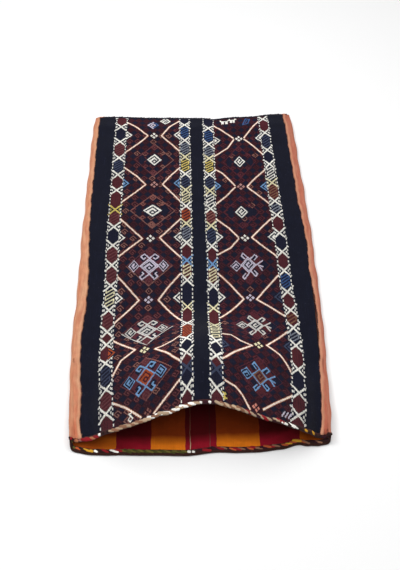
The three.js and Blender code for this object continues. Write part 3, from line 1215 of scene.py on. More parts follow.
RIGHT_ARMS: Sequence[tuple[Point, Point]] = (((-35, 3), (17, 19)),)
# Dark spirals in a pale diamond, in shares of its half size
RING_SPIRAL: Sequence[Point] = (
    (-0.68, 0.03), (0.0, -0.6), (0.55, 0.02), (0.3, 0.3), (0.0, 0.6), (-0.29, 0.3), (0.0, 0.0), (0.3, 0.3),
)
OPEN_SPIRAL: Sequence[Point] = (
    (0.62, -0.04), (0.0, 0.62), (-0.58, -0.02), (0.0, -0.62), (0.36, -0.26), (0.0, 0.06),
)
WHITE, CREAM, YELLOW, SKY = Yarn.WHITE, Yarn.CREAM, Yarn.YELLOW, Yarn.SKY
NAVY, MAROON, BLUE, STEEL, SLATE = Yarn.NAVY, Yarn.MAROON, Yarn.BLUE, Yarn.STEEL, Yarn.SLATE


@dataclass
class Brocade:
    """The brocaded fields of the front: chart, motifs and the floats laid from them.

    Sizes are in millimetres on the cloth, except the thickness of a float.
    """

    warp: float = 1.5
    row: float = 1.75
    cell: float = 25.6
    frame_inside: float = 0.945
    float_rise: float = 0.0013
    bounds: Box = (-268, 284, 3, 1130)
    lip_half: float = 560
    float_overlap: float = 0.0003
    float_cover: float = 1.16
    line_edge: float = 7.0
    line_width: float = 4.4
    plain_until: float = 60
    longest: dict[Yarn, int] = field(
        default_factory=lambda: {
            Yarn.WINE: 10, Yarn.NAVY: 9, Yarn.MAROON: 9, Yarn.PLUM: 8, Yarn.CLARET: 8, Yarn.RUST: 6
        }
    )
    middles: dict[Panel, float] = field(default_factory=lambda: {Panel.LEFT: -137, Panel.RIGHT: 145})
    marks: dict[Panel, Sequence[float]] = field(
        default_factory=lambda: {
            Panel.LEFT: (-10, 97, 207, 316, 423, 527, 627, 740, 856, 935, 1028, 1120, 1222),
            Panel.RIGHT: (5, 111, 220, 327, 430, 531, 627, 738, 840, 921, 1026, 1115, 1217),
        }
    )

    def borders(self) -> dict[str, Border]:
        """The four borders, from left to right."""
        row = BorderRow
        outer_left = (
            row(-12, WHITE, MAROON), row(55, WHITE, NAVY), row(127, WHITE, MAROON, Yarn.RUST),
            row(200, WHITE, NAVY, SLATE), row(272, WHITE, MAROON), row(337, WHITE, MAROON),
            row(417, YELLOW, MAROON, Yarn.RUST), row(484, WHITE, NAVY), row(552, WHITE, MAROON, Yarn.RUST),
            row(622, WHITE, MAROON, Yarn.RUST), row(692, WHITE, NAVY, CREAM),
            row(774, WHITE, MAROON, Yarn.RUST),
            row(844, WHITE, MAROON), row(884, WHITE, MAROON), row(946, WHITE, NAVY, SLATE),
            row(1024, WHITE, MAROON, Yarn.RUST), row(1089, WHITE, MAROON),
        )
        inner_left = (
            row(-30, WHITE, NAVY), row(40, WHITE, NAVY, BLUE), row(117, WHITE, NAVY, STEEL),
            row(192, CREAM, NAVY, YELLOW), row(272, WHITE, NAVY, SLATE), row(340, CREAM, NAVY, CREAM),
            row(404, WHITE, MAROON, Yarn.ORANGE), row(472, CREAM, NAVY, STEEL), row(544, WHITE, MAROON),
            row(609, SKY, MAROON, CREAM), row(677, WHITE, NAVY), row(766, CREAM, MAROON),
            row(849, WHITE, MAROON, Yarn.ORANGE), row(952, WHITE, NAVY), row(1004, WHITE, MAROON),
            row(1045, SLATE, NAVY), row(1094, WHITE, MAROON),
        )
        inner_right = (
            row(-18, WHITE, NAVY), row(55, WHITE, NAVY, BLUE), row(133, WHITE, NAVY, STEEL),
            row(200, CREAM, NAVY, YELLOW), row(275, WHITE, NAVY, SLATE), row(345, CREAM, NAVY, WHITE),
            row(414, WHITE, MAROON, Yarn.BRICK), row(482, CREAM, NAVY, SLATE), row(559, WHITE, MAROON),
            row(622, SKY, MAROON, CREAM), row(697, WHITE, NAVY), row(774, CREAM, MAROON),
            row(864, CREAM, NAVY, CREAM), row(962, WHITE, NAVY), row(1014, WHITE, MAROON),
            row(1051, SLATE, NAVY), row(1098, WHITE, MAROON),
        )
        outer_right = (
            row(20, WHITE, MAROON), row(92, WHITE, NAVY, SLATE), row(172, WHITE, NAVY),
            row(235, WHITE, NAVY, WHITE), row(310, CREAM, MAROON, Yarn.BROWN), row(387, WHITE, NAVY, STEEL),
            row(444, WHITE, MAROON), row(512, WHITE, NAVY), row(582, WHITE, MAROON),
            row(647, WHITE, NAVY, BLUE),
            row(719, WHITE, MAROON), row(781, WHITE, MAROON, Yarn.BROWN), row(839, WHITE, NAVY, STEEL),
            row(894, WHITE, MAROON), row(969, WHITE, NAVY), row(1041, WHITE, MAROON),
            row(1101, WHITE, MAROON),
        )
        return {
            "outer_left": Border(
                ((0, -264, -226), (400, -265, -227), (1000, -263, -228), (1130, -261, -223)), outer_left
            ),
            "inner_left": Border(
                ((0, -51, -16), (400, -49, -14), (850, -46, -14), (1130, -49, -17)), inner_left
            ),
            "inner_right": Border(((0, 29, 66), (376, 26, 61), (600, 27, 58), (1130, 21, 54)), inner_right),
            "outer_right": Border(
                ((0, 220, 256), (376, 224, 260), (700, 230, 265), (860, 238, 275), (950, 243, 280),
                 (1050, 237, 277), (1130, 226, 270)),
                outer_right,
            ),
        }

    def medallions(self) -> dict[Panel, Sequence[Medallion]]:
        """The five medallions of each panel, from the bottom seam to the lip."""
        brick, rust, claret, rose = Yarn.BRICK, Yarn.RUST, Yarn.CLARET, Yarn.ROSE
        grey = Yarn.GREY
        return {
            Panel.LEFT: (
                Medallion((-132, 207), (24, 26), WHITE, rust, (64, 74), right_outline=rose),
                Medallion((-133, 423), (29, 24), WHITE, brick, (69, 69), lower_outline=rose),
                Medallion((-138, 627), (26, 27), Yarn.LILAC, rust, (68, 70), True, lower_outline=rose),
                Medallion((-137, 856), (26, 24), grey, rust, (70, 62), True, lower_outline=grey),
                Medallion(
                    (-139, 1028), (24, 24), SKY, rust, (70, 62), True, Yarn.ORANGE, right_outline=brick
                ),
            ),
            Panel.RIGHT: (
                Medallion((143, 220), (18, 24), WHITE, claret, (54, 73)),
                Medallion((137, 430), (20, 23), WHITE, claret, (56, 66)),
                Medallion((145, 627), (20, 26), Yarn.LILAC, claret, (62, 66), True),
                Medallion((150, 840), (20, 23), grey, claret, (62, 60), True),
                Medallion((152, 1026), (19, 22), SKY, claret, (62, 60), True, Yarn.BROWN),
            ),
        }

    def lattices(self) -> Sequence[Sequence[Point]]:
        """The pale lines that wrap the medallions, from border to border."""
        return (
            ((-228, 28), (-188, 62), (-155, 97), (-190, 138), (-227, 176)),
            ((-226, 243), (-186, 278), (-157, 315), (-196, 356), (-229, 389)),
            ((-229, 454), (-190, 496), (-161, 527), (-197, 562), (-230, 596)),
            ((-230, 658), (-196, 700), (-163, 742), (-188, 775), (-227, 819)),
            ((-230, 873), (-195, 901), (-167, 924), (-205, 950), (-232, 1000)),
            ((-227, 1066), (-195, 1086), (-152, 1124)),
            ((-51, 14), (-85, 55), (-110, 97), (-75, 137), (-50, 167)),
            ((-49, 242), (-75, 274), (-104, 315), (-72, 355), (-48, 388)),
            ((-46, 452), (-78, 490), (-110, 525), (-78, 564), (-49, 597)),
            ((-50, 656), (-85, 702), (-110, 742), (-74, 790), (-45, 829)),
            ((-43, 921), (-66, 936), (-92, 944), (-114, 945), (-80, 983), (-50, 1020)),
            ((-50, 1070), (-84, 1096), (-117, 1126)),
            ((65, 37), (111, 88), (132, 111), (107, 155), (64, 188)),
            ((58, 246), (85, 268), (125, 327), (92, 368), (60, 398)),
            ((57, 454), (96, 492), (124, 532), (97, 567), (59, 590)),
            ((55, 653), (92, 696), (125, 742), (92, 780), (57, 815)),
            ((55, 917), (80, 909), (105, 924), (135, 930), (96, 968), (52, 1017)),
            ((50, 1068), (85, 1079), (102, 1096), (119, 1125)),
            ((221, 30), (192, 65), (162, 111), (190, 146), (223, 190)),
            ((222, 259), (188, 292), (160, 327), (196, 366), (224, 398)),
            ((228, 454), (196, 488), (161, 529), (196, 566), (229, 598)),
            ((230, 661), (192, 704), (160, 744), (198, 772), (234, 802)),
            ((241, 849), (197, 891), (175, 914), (210, 939), (226, 960), (244, 990)),
            ((239, 1053), (197, 1084), (155, 1114)),
        )

    def draw(self) -> Chart:
        """Draws the whole front.

        Returns:
            The finished chart.
        """
        chart = Chart(*self.bounds, self.warp, self.row)
        borders = self.borders()
        for panel, left, right in (
            (Panel.LEFT, "outer_left", "inner_left"),
            (Panel.RIGHT, "inner_right", "outer_right"),
        ):
            self._ground(chart, panel, borders[left], borders[right])
        for panel, medallions in self.medallions().items():
            for medallion in medallions:
                self._medallion(chart, panel, medallion)
        for line in self.lattices():
            chart.stroke(line, self.line_edge, Yarn.TAN)
            chart.stroke(line, self.line_width, Yarn.PEACH)
        self._crosses(chart)
        for border in borders.values():
            border.draw(chart)
        self._side_diamonds(chart)
        self._small_motifs(chart)
        return chart

    def _ground(self, chart: Chart, panel: Panel, left: Border, right: Border) -> None:
        """Fills a panel with dark squares and small hooks in turn, on a slanting grid.

        Args:
            chart: The chart.
            panel: Which panel.
            left: Border on its left.
            right: Border on its right.
        """
        edge = left.span(chart.v)[1][:, None], right.span(chart.v)[0][:, None]
        field_mask = (chart.grid_s > edge[0]) & (chart.grid_s < edge[1])
        chart.paint(field_mask, Yarn.WINE)
        marks = np.array(self.marks[panel])
        x = (chart.grid_s - self.middles[panel]) / self.cell
        y = np.interp(chart.grid_v, marks, np.arange(len(marks)) * 4.0)
        a, b = x + y, x - y
        i, j = np.round(a), np.round(b)
        la, lb = a - i, b - j
        reach = np.maximum(np.abs(la), np.abs(lb))
        dark = (i + j) % 2 == 1
        chart.paint(field_mask & dark & (reach < 0.42), Yarn.NAVY)
        la = np.where(x < 0, la, -la)
        hook = (reach > 0.29) & (reach < 0.43) & ~((la > 0.2) & (lb > -0.04) & (lb < 0.27))
        hook |= (la > -0.08) & (la < 0.3) & (lb > -0.12) & (lb < 0.05)
        pick = np.sin(i * 127.1 + j * 311.7) * 43758.5453
        pick -= np.floor(pick)
        hook &= field_mask & ~dark
        middle, rare = (Yarn.RUST, 0.84) if panel is Panel.LEFT else (Yarn.CLARET, 0.95)
        chart.paint(hook, Yarn.PLUM)
        hook &= chart.grid_v > self.plain_until
        chart.paint(hook & (pick > 0.45), middle)
        chart.paint(hook & (pick > rare), Yarn.ROSE)

    def _medallion(self, chart: Chart, panel: Panel, medallion: Medallion) -> None:
        """Draws one medallion with its frame.

        Args:
            chart: The chart.
            panel: Which panel it is in.
            medallion: Its sizes and yarns.
        """
        self._frame(chart, panel, medallion)
        if medallion.hooked:
            self._hooked_heart(chart, panel, medallion)
        else:
            self._spiral_heart(chart, medallion)

    def _frame(self, chart: Chart, panel: Panel, medallion: Medallion) -> None:
        """Draws the thin diamond round a medallion and the small diamonds in its tips.

        Args:
            chart: The chart.
            panel: Which panel it is in.
            medallion: Its sizes and yarns.
        """
        s, v = medallion.at
        wide, high = medallion.frame
        if medallion.hooked:
            inner = Yarn.CLARET if panel is Panel.LEFT else Yarn.MAROON
            chart.diamond(medallion.at, (wide * 0.86, high * 0.86), inner)
            for x, y in ((-0.28, -0.36), (0.28, -0.36), (-0.28, 0.36), (0.28, 0.36)):
                chart.diamond((s + wide * x, v + high * y), (10, 11), NAVY)
        chart.diamond(medallion.at, medallion.frame, medallion.outline, self.frame_inside)
        right_half, lower_half = (s, FAR, -FAR, FAR), (-FAR, FAR, v, FAR)
        for yarn, keep in ((medallion.right_outline, right_half), (medallion.lower_outline, lower_half)):
            if yarn:
                chart.diamond(medallion.at, medallion.frame, yarn, self.frame_inside, keep)
        for side in (-1, 1):
            tip = (s, v + side * high * 0.76)
            chart.diamond(tip, (12, 13), medallion.outline, 0.62)
            chart.diamond(tip, (4, 4), medallion.outline)

    @staticmethod
    def _spiral_heart(chart: Chart, medallion: Medallion) -> None:
        """Draws a small spiral diamond with dark squares and hooks round it.

        Args:
            chart: The chart.
            medallion: Its sizes and yarns.
        """
        s, v = medallion.at
        wide, high = medallion.frame
        for side in (-1, 1):
            chart.diamond((s + side * wide * 0.6, v), (14, 15), NAVY)
            yarn = medallion.right_outline if side > 0 and medallion.right_outline else medallion.outline
            for up in (-1, 1):
                at = (s + side * wide * 0.42, v + up * high * 0.4)
                hook = ((-7, 0), (0, -7), (7, 0), (1, 6), (-2, 2))
                chart.figure(at, [[(x * side, y * up) for x, y in hook]], 3.2, yarn)
        half = medallion.half
        chart.diamond(medallion.at, (half[0] + 5, half[1] + 5), NAVY)
        chart.diamond(medallion.at, half, medallion.yarn)
        spiral = RING_SPIRAL if s < 0 else OPEN_SPIRAL
        chart.figure(medallion.at, [spiral], 4.3, NAVY, half)

    @staticmethod
    def _hooked_heart(chart: Chart, panel: Panel, medallion: Medallion) -> None:
        """Draws a diamond with horns above and below and spiral arms at its sides.

        Args:
            chart: The chart.
            panel: Which panel it is in.
            medallion: Its sizes and yarns.
        """
        left = panel is Panel.LEFT
        s, v = medallion.at
        squeeze = medallion.frame[1] / (70 if left else 66)
        for (x, y), half in LEFT_GAPS if left else RIGHT_GAPS:
            chart.diamond((s + x, v + y * squeeze), (half[0], half[1] * squeeze), NAVY)
        hooks = LEFT_HOOKS if left else RIGHT_HOOKS
        chart.figure(medallion.at, hooks, 4.4 if left else 4.0, medallion.yarn, (1, squeeze))
        for (x, y), half in LEFT_ARMS if left else RIGHT_ARMS:
            arm = (s + x, v + y * squeeze)
            chart.diamond(arm, (half[0], half[1] * squeeze), medallion.yarn)
            turned = (half[0] * (1.1 if x < 0 else -1.1), half[1] * squeeze * 1.1)
            chart.figure(arm, [OPEN_SPIRAL if left else RING_SPIRAL], 3.8, NAVY, turned)
        wide, high = medallion.half
        chart.diamond(medallion.at, (wide + 3, high + 3), medallion.yarn)
        chart.diamond(medallion.at, (wide * 0.9, high * 0.9), STEEL, 0.93)
        if medallion.heart:
            chart.diamond(medallion.at, (wide * 0.92, high * 0.92), medallion.heart)
        spiral = RING_SPIRAL if left else OPEN_SPIRAL
        inside = MAROON if medallion.heart else NAVY
        chart.figure(medallion.at, [spiral], 4.2, inside, (wide * 0.96, high * 0.9))

    def _crosses(self, chart: Chart) -> None:
        """Draws the four-dot crosses between the medallions."""
        rows = (
            (-135, 97, WHITE), (-130, 316, Yarn.PINK), (-137, 527, WHITE), (-137, 741, Yarn.LILAC),
            (-142, 935, CREAM), (-134, 1118, Yarn.BRICK), (147, 111, WHITE), (141, 327, Yarn.PINK),
            (141, 531, WHITE), (143, 738, Yarn.LILAC), (153, 921, CREAM), (136, 1115, Yarn.SALMON),
        )
        for s, v, yarn in rows:
            chart.diamond((s, v), (19, 20), Yarn.WINE)
            scale = 1 if v < 1100 else 0.8
            for x, y in ((-8, 0), (8, 0), (0, -8), (0, 8)):
                chart.diamond((s + x * scale, v + y * scale), (5.2 * scale, 5.8 * scale), yarn)

    def _side_diamonds(self, chart: Chart) -> None:
        """Draws the half diamonds that stand on the borders beside the crosses."""
        rows = (
            (-226, 95, 1, WHITE), (-50, 92, -1, WHITE), (-228, 308, 1, SKY), (-50, 311, -1, SKY),
            (-231, 524, 1, WHITE), (-49, 524, -1, WHITE), (-228, 735, 1, WHITE), (-50, 735, -1, WHITE),
            (-240, 916, 1, Yarn.ORANGE), (66, 113, 1, WHITE), (222, 112, -1, WHITE), (60, 325, 1, SKY),
            (222, 326, -1, SKY), (58, 526, 1, WHITE), (228, 527, -1, WHITE), (56, 735, 1, WHITE),
            (230, 736, -1, SLATE), (54, 960, 1, SLATE), (242, 903, -1, SLATE),
        )
        for s, v, side, yarn in rows:
            keep = (s, FAR, -FAR, FAR) if side > 0 else (-FAR, s, -FAR, FAR)
            chart.diamond((s, v), (24, 24), NAVY, 0.0, keep)
            chart.diamond((s, v), (20, 20), yarn, 0.72, keep)
            chart.diamond((s, v), (9, 9), yarn, 0.0, keep)

    def _small_motifs(self, chart: Chart) -> None:
        """Draws the small motifs at the bottom seam and near the lip."""
        chart.diamond((-139, 43), (20, 23), NAVY)
        chart.diamond((-139, 43), (20, 22), Yarn.LILAC, 0.7, (-FAR, -137, -FAR, FAR))
        chart.diamond((-139, 43), (20, 22), BLUE, 0.7, (-137, FAR, -FAR, FAR))
        chart.diamond((-139, 43), (10, 11), Yarn.LILAC, 0.5)
        chart.diamond((-98, 17), (19, 20), WHITE)
        chart.figure((-98, 17), [RING_SPIRAL], 3.8, NAVY, (18, 19))
        beast = (((-14, -4), (10, -4)), ((-14, -4), (-17, -12)), ((10, -4), (15, -11), (19, -9)))
        legs = tuple(((x, -4), (x, 10)) for x in (-12, -6, 4, 9))
        chart.figure((104, 22), beast + legs, 4.4, WHITE, (0.85, 1.0))
        chart.figure((131, 18), beast + legs, 4.4, WHITE, (0.62, 1.0))
        chart.figure((176, 27), (((-12, 18), (0, -18), (14, -14), (6, 12), (-12, 18)),), 4.4, BLUE)
        chart.figure((176, 27), (((-2, 6), (4, -8)),), 4.0, BLUE)
        chart.diamond((-180, 1119), (8, 9), WHITE, 0.5)
        chart.figure((-180, 1119), (((0, -8), (-5, -13), (4, -15)),), 3.6, WHITE)
        chart.figure((58, 1112), (((-7, -8), (2, -6)), ((-5, 2), (4, 4)), ((-1, -8), (-3, 8))), 3.6, YELLOW)
        lilac = tuple(((x, 12), (x + 9, -2)) for x in (-18, -9, 0))
        chart.figure((222, 1106), lilac, 3.6, Yarn.LILAC)

    def build(self, shape: ClothShape, ribs: YarnLayer, floats: YarnLayer) -> list[bpy.types.Object]:
        """Lays the floats on the front.

        Args:
            shape: The sack's form.
            ribs: What lays the plain floats of the ground.
            floats: What lays the floats of the motifs.

        Returns:
            The pieces, by the part of the front that they cover.
        """
        s, v, length, yarns = self.draw().floats(self.longest)
        rng = np.random.default_rng(11)
        at, across, along, out = shape.front(s * MM, v * MM, np.full(len(s), shape.front_cloth / 2))
        weft = across + along * rng.normal(0, 0.05, (len(s), 1))
        width = np.full(len(s), self.row * MM * self.float_cover)
        rise = np.full(len(s), self.float_rise)
        size = np.stack([length * MM + self.float_overlap, width, rise], -1)
        ground = np.array([yarn in self.longest for yarn in yarns])
        lip = v >= self.lip_half
        parts = {
            f"brocade_{kind}_{side}{end}": of_kind & on_side & at_end
            for kind, of_kind in (("ground", ground), ("motifs", ~ground))
            for side, on_side in (("left", s < 0), ("right", s >= 0))
            for end, at_end in (("", ~lip), ("_lip", lip))
        }
        pieces = []
        for seed, (name, mask) in enumerate(parts.items(), 20):
            layer = ribs if "ground" in name else floats
            chosen = [yarn for yarn, here in zip(yarns, mask) if here]
            piece = layer.lay(name, at[mask], out[mask], weft[mask], size[mask], chosen, seed)
            pieces.append(finish_piece(piece))
        return pieces


@dataclass
class FrontCloth:
    """The plain ground cloth of the front, navy bands and dark panels."""

    column: float = 0.005
    row: float = 0.007
    finish: Wool = Wool("navy_wool_cloth", uneven=1.1, fineness=700.0, relief=0.5)

    def build(self, shape: ClothShape, groups: WoolGroups) -> bpy.types.Object:
        """Builds and dresses the cloth.

        Args:
            shape: The sack's form.
            groups: Shared shader groups.

        Returns:
            The piece.
        """
        half = shape.front_width / 2
        s = np.linspace(-half, half, round(2 * half / self.column) + 1)
        v = np.linspace(0, shape.length, round(shape.length / self.row) + 1)
        grid_s, grid_v = np.meshgrid(s, v, indexing="ij")
        face = np.full(grid_s.shape, shape.front_cloth / 2)
        uv = np.stack([grid_s, grid_v], -1)
        piece = shell("front_cloth", shape, grid_s / shape.half, grid_v, face, -face, uv)
        return finish_piece(piece, ["front_panel"], self.wool(groups))

    def wool(self, groups: WoolGroups) -> bpy.types.Material:
        """Navy wool with paler threads along the warp.

        Args:
            groups: Shared shader groups.

        Returns:
            The material.
        """
        material, w, shader, uv, weave = self.finish.start_cloth(groups, 420.0, 460.0)
        streak = w.ramp(w.noise(w.stretch(uv, (520.0, 16.0, 1.0)), 1.0, 2), 0.58, 0.8)
        fleck = w.ramp(w.noise(w.stretch(uv, (420.0, 160.0, 1.0)), 1.0, 1), 0.7, 0.78)
        base = w.mix(streak, linear("0f1120"), linear("1a1e33"))
        colour = w.mix(w.math("MULTIPLY", fleck, 0.3), base, linear("5a6076"))
        self.finish.dress(groups, w, shader, colour, uv, weave)
        return material


@dataclass
class BackCloth:
    """The striped back, which lies on the floor and shows inside the mouth."""

    column: float = 0.008
    row: float = 0.008
    stripe_edges: Sequence[float] = (-0.645, -0.385, -0.128, 0.108, 0.434, 0.738)
    yellow: str = "ee8318"
    dark_red: str = "9c152a"
    # Painted shade inside the mouth: full below the first distance, gone past the second, growing towards the
    # sides between the two shares, and the tint that it multiplies in
    painted_shade_from: float = 1.092
    painted_shade_to: float = 1.116
    painted_shade_sides: Point = (0.80, 0.45)
    painted_shade_tint: str = "8c6860"
    pale_threads: Sequence[tuple[float, str]] = ((-0.088, "cdb392"), (0.062, "86504a"))
    finish: Wool = Wool("striped_wool_cloth", uneven=0.8, fineness=700.0, relief=0.5)

    def build(self, shape: ClothShape, groups: WoolGroups) -> bpy.types.Object:
        """Builds and dresses the cloth.

        Args:
            shape: The sack's form.
            groups: Shared shader groups.

        Returns:
            The piece.
        """
        half = shape.front_width / 2
        s = np.linspace(half, -half, round(2 * half / self.column) + 1)
        v = np.linspace(0, shape.length, round(shape.length / self.row) + 1)
        grid_s, grid_v = np.meshgrid(s, v, indexing="ij")
        place = np.where(grid_s < 0, -1, 1) * (3 - np.abs(grid_s) / shape.half)
        face = np.full(grid_s.shape, shape.back_cloth / 2)
        piece = shell("back_cloth", shape, place, grid_v, face, -face, np.stack([grid_s, grid_v], -1))
        return finish_piece(piece, ["back_panel"], self.wool(groups, half))

    def wool(self, groups: WoolGroups, half: float) -> bpy.types.Material:
        """Lengthwise stripes of yellow and dark red, with two pale threads by the middle one, darkened by
        painted shade deeper inside the mouth and towards its corners.

        Args:
            groups: Shared shader groups.
            half: Half the cloth's width.

        Returns:
            The material.
        """
        material, w, shader, uv, weave = self.finish.start_cloth(groups, 400.0, 340.0)
        split = w.add("ShaderNodeSeparateXYZ")
        w.join(uv, split.inputs[0])
        loose = w.math("MULTIPLY", w.math("SUBTRACT", w.noise(uv, 40.0, 2), 0.5), 0.008)
        share = w.math("ADD", w.math("MULTIPLY_ADD", split.outputs[0], 0.5 / half, 0.5), loose)
        ramp = w.add("ShaderNodeValToRGB")
        w.join(share, ramp.inputs[0])
        ramp.color_ramp.interpolation = "CONSTANT"
        dyes = [linear(self.yellow), linear(self.dark_red)]
        ramp.color_ramp.elements[0].color = dyes[0]
        ramp.color_ramp.elements.remove(ramp.color_ramp.elements[1])
        for k, edge in enumerate(self.stripe_edges):
            ramp.color_ramp.elements.new(0.5 + edge / 2).color = dyes[(k + 1) % 2]
        colour = ramp.outputs[0]
        for thread, dye in self.pale_threads:
            away = w.math("ABSOLUTE", w.math("SUBTRACT", share, 0.5 + thread / 2))
            colour = w.mix(w.ramp(away, 0.0019, 0.0010), colour, linear(dye))
        streak = w.noise(w.stretch(uv, (480.0, 10.0, 1.0)), 1.0, 2)
        dull = w.mix(1.0, colour, linear("b06a4a"), "MULTIPLY")
        colour = w.mix(w.math("MULTIPLY", streak, 0.35), colour, dull)
        # Painted shade: the stripes darken deeper inside the mouth and towards its corners, where the front's
        # lip shades the back
        painted_shade = w.ramp(w.math("ADD", split.outputs[1], loose), self.painted_shade_to, self.painted_shade_from)
        aside = w.math("ABSOLUTE", w.math("MULTIPLY_ADD", share, 2.0, -1.0))
        side = w.math("MULTIPLY", w.ramp(aside, self.painted_shade_sides[1], self.painted_shade_sides[0]), 0.85)
        painted_shade = w.math("MAXIMUM", painted_shade, side)
        colour = w.mix(painted_shade, colour, w.mix(1.0, colour, linear(self.painted_shade_tint), "MULTIPLY"))
        self.finish.dress(groups, w, shader, colour, uv, weave)
        return material


@dataclass
class SideStrip:
    """An orange strip round one side, with a rolled edge on the front."""

    panel: Panel
    seam: Knots
    dyes: tuple[str, str, str] = ("cc8060", "e0aa86", "b8664e")
    columns: int = 34
    row: float = 0.004
    roll: float = 0.0075
    roll_rise: float = 0.0026
    finish: Wool = Wool("orange_wool_cloth", uneven=0.9, fineness=620.0, relief=0.6)

    def edge(self, v: np.ndarray) -> np.ndarray:
        """Distance of the rolled edge from the front's middle line, in metres."""
        wave = 0.9 * np.sin(2 * math.pi * (v / 0.061 + 0.2)) + 0.6 * np.sin(2 * math.pi * v / 0.027)
        return (curve(v / MM, self.seam) + wave) * MM

    def build(self, shape: ClothShape, wool: bpy.types.Material) -> bpy.types.Object:
        """Builds and dresses the strip.

        Args:
            shape: The sack's form.
            wool: Its material.

        Returns:
            The piece.
        """
        v = np.linspace(0, shape.length, round(shape.length / self.row) + 1)
        start = self.edge(v) / shape.half
        end = 3 - (shape.front_width / 2 + shape.clearance) / shape.half
        share = np.linspace(0, 1, self.columns) ** 1.25
        place = start[None] + (end - start[None]) * share[:, None]
        v = np.broadcast_to(v[None], place.shape)
        from_edge = (place - start[None]) * shape.half
        over = shape.front_width / 2 - np.minimum(place, 1) * shape.half
        lift = 0.0034 * ease(over / 0.004 + 0.6) * (place < 1.02)
        lump = 1 + 0.35 * np.sin(v * 420 + 2 * np.sin(v * 71)) * np.sin(v * 133 + 1)
        round_edge = np.sqrt(np.clip(1 - (from_edge / self.roll * 2 - 1) ** 2, 0, 1))
        outer = shape.strip_cloth / 2 + lift + self.roll_rise * round_edge * lump * (from_edge < self.roll)
        inner = -shape.strip_cloth / 2 + lift
        uv = np.stack([from_edge, v], -1)
        name = "left_strip" if self.panel is Panel.LEFT else "right_strip"
        node = "left_side_strip" if self.panel is Panel.LEFT else "right_side_strip"
        if self.panel is Panel.LEFT:
            place, v, outer, inner, uv = -place[::-1], v[::-1], outer[::-1], inner[::-1], uv[::-1]
        piece = shell(name, shape, place, v, outer, inner, uv)
        return finish_piece(piece, [node], wool)

    def wool(self, groups: WoolGroups) -> bpy.types.Material:
        """Faded orange wool, salmon and tan in patches, pale on the rolled edge.

        Args:
            groups: Shared shader groups.

        Returns:
            The material.
        """
        material, w, shader, uv, weave = self.finish.start_cloth(groups, 380.0, 420.0)
        patch = w.ramp(w.noise(w.stretch(uv, (34.0, 11.0, 1.0)), 1.0, 3), 0.35, 0.68)
        streak = w.ramp(w.noise(w.stretch(uv, (330.0, 26.0, 1.0)), 1.0, 2), 0.4, 0.72)
        colour = w.mix(patch, linear(self.dyes[0]), linear(self.dyes[1]))
        colour = w.mix(w.math("MULTIPLY", streak, 0.4), colour, linear(self.dyes[2]))
        split = w.add("ShaderNodeSeparateXYZ")
        w.join(uv, split.inputs[0])
        edge = w.ramp(split.outputs[0], self.roll * 1.2, self.roll * 0.5)
        colour = w.mix(w.math("MULTIPLY", edge, 0.35), colour, linear("e3b08a"))
        self.finish.dress(groups, w, shader, colour, uv, weave)
        return material


@dataclass
class FrontSeam:
    """Short dark stitches along a strip's rolled edge, which sew it to the front; their dark yarns also stand
    in for the thin shadow line at the front's edge, as painted shade.
    """

    strip: SideStrip
    pitch: float = 0.0062
    stitch: Triple = (0.0070, 0.0018, 0.0013)

    def build(self, shape: ClothShape, layer: YarnLayer) -> bpy.types.Object:
        """Lays the stitches.

        Args:
            shape: The sack's form.
            layer: What lays the yarn.

        Returns:
            The piece.
        """
        side = self.strip.panel.value
        rng = np.random.default_rng(5 + side)
        v = np.arange(self.pitch, shape.length - self.pitch, self.pitch)
        line = self.strip.edge(v) - 0.0006
        at, across, along, out = shape.front(side * line, v, np.full(len(v), 0.0023))
        weft = along + side * across * rng.normal(0.15, 0.12, (len(v), 1))
        size = np.array(self.stitch) * rng.normal(1, 0.12, (len(v), 1)).clip(0.7, 1.3)
        # Dark yarns: real seam stitches, and also painted shade for the thin shadow line where the front
        # overlaps the strip
        dyes = ((0.45, Yarn.RUST), (0.7, Yarn.BROWN), (1.0, Yarn.WINE))
        yarns = [next(dye for most, dye in dyes if share < most) for share in rng.random(len(v))]
        name = "left_seam_stitches" if side < 0 else "right_seam_stitches"
        piece = layer.lay(name, at, out, weft, size, yarns, 40 + side)
        return finish_piece(piece, ["left_front_seam" if side < 0 else "right_front_seam"])


class Edge(Enum):
    """The three overcast edges."""

    FRONT_LIP = "front_lip"
    BACK_LIP = "back_lip"
    BOTTOM = "bottom"


@dataclass(frozen=True)
class Stretch:
    """A stretch of an edge up to a place across the sack, with its yarns and the length of its stitches."""

    end: float
    yarns: Sequence[Yarn]
    longer: float = 1.0


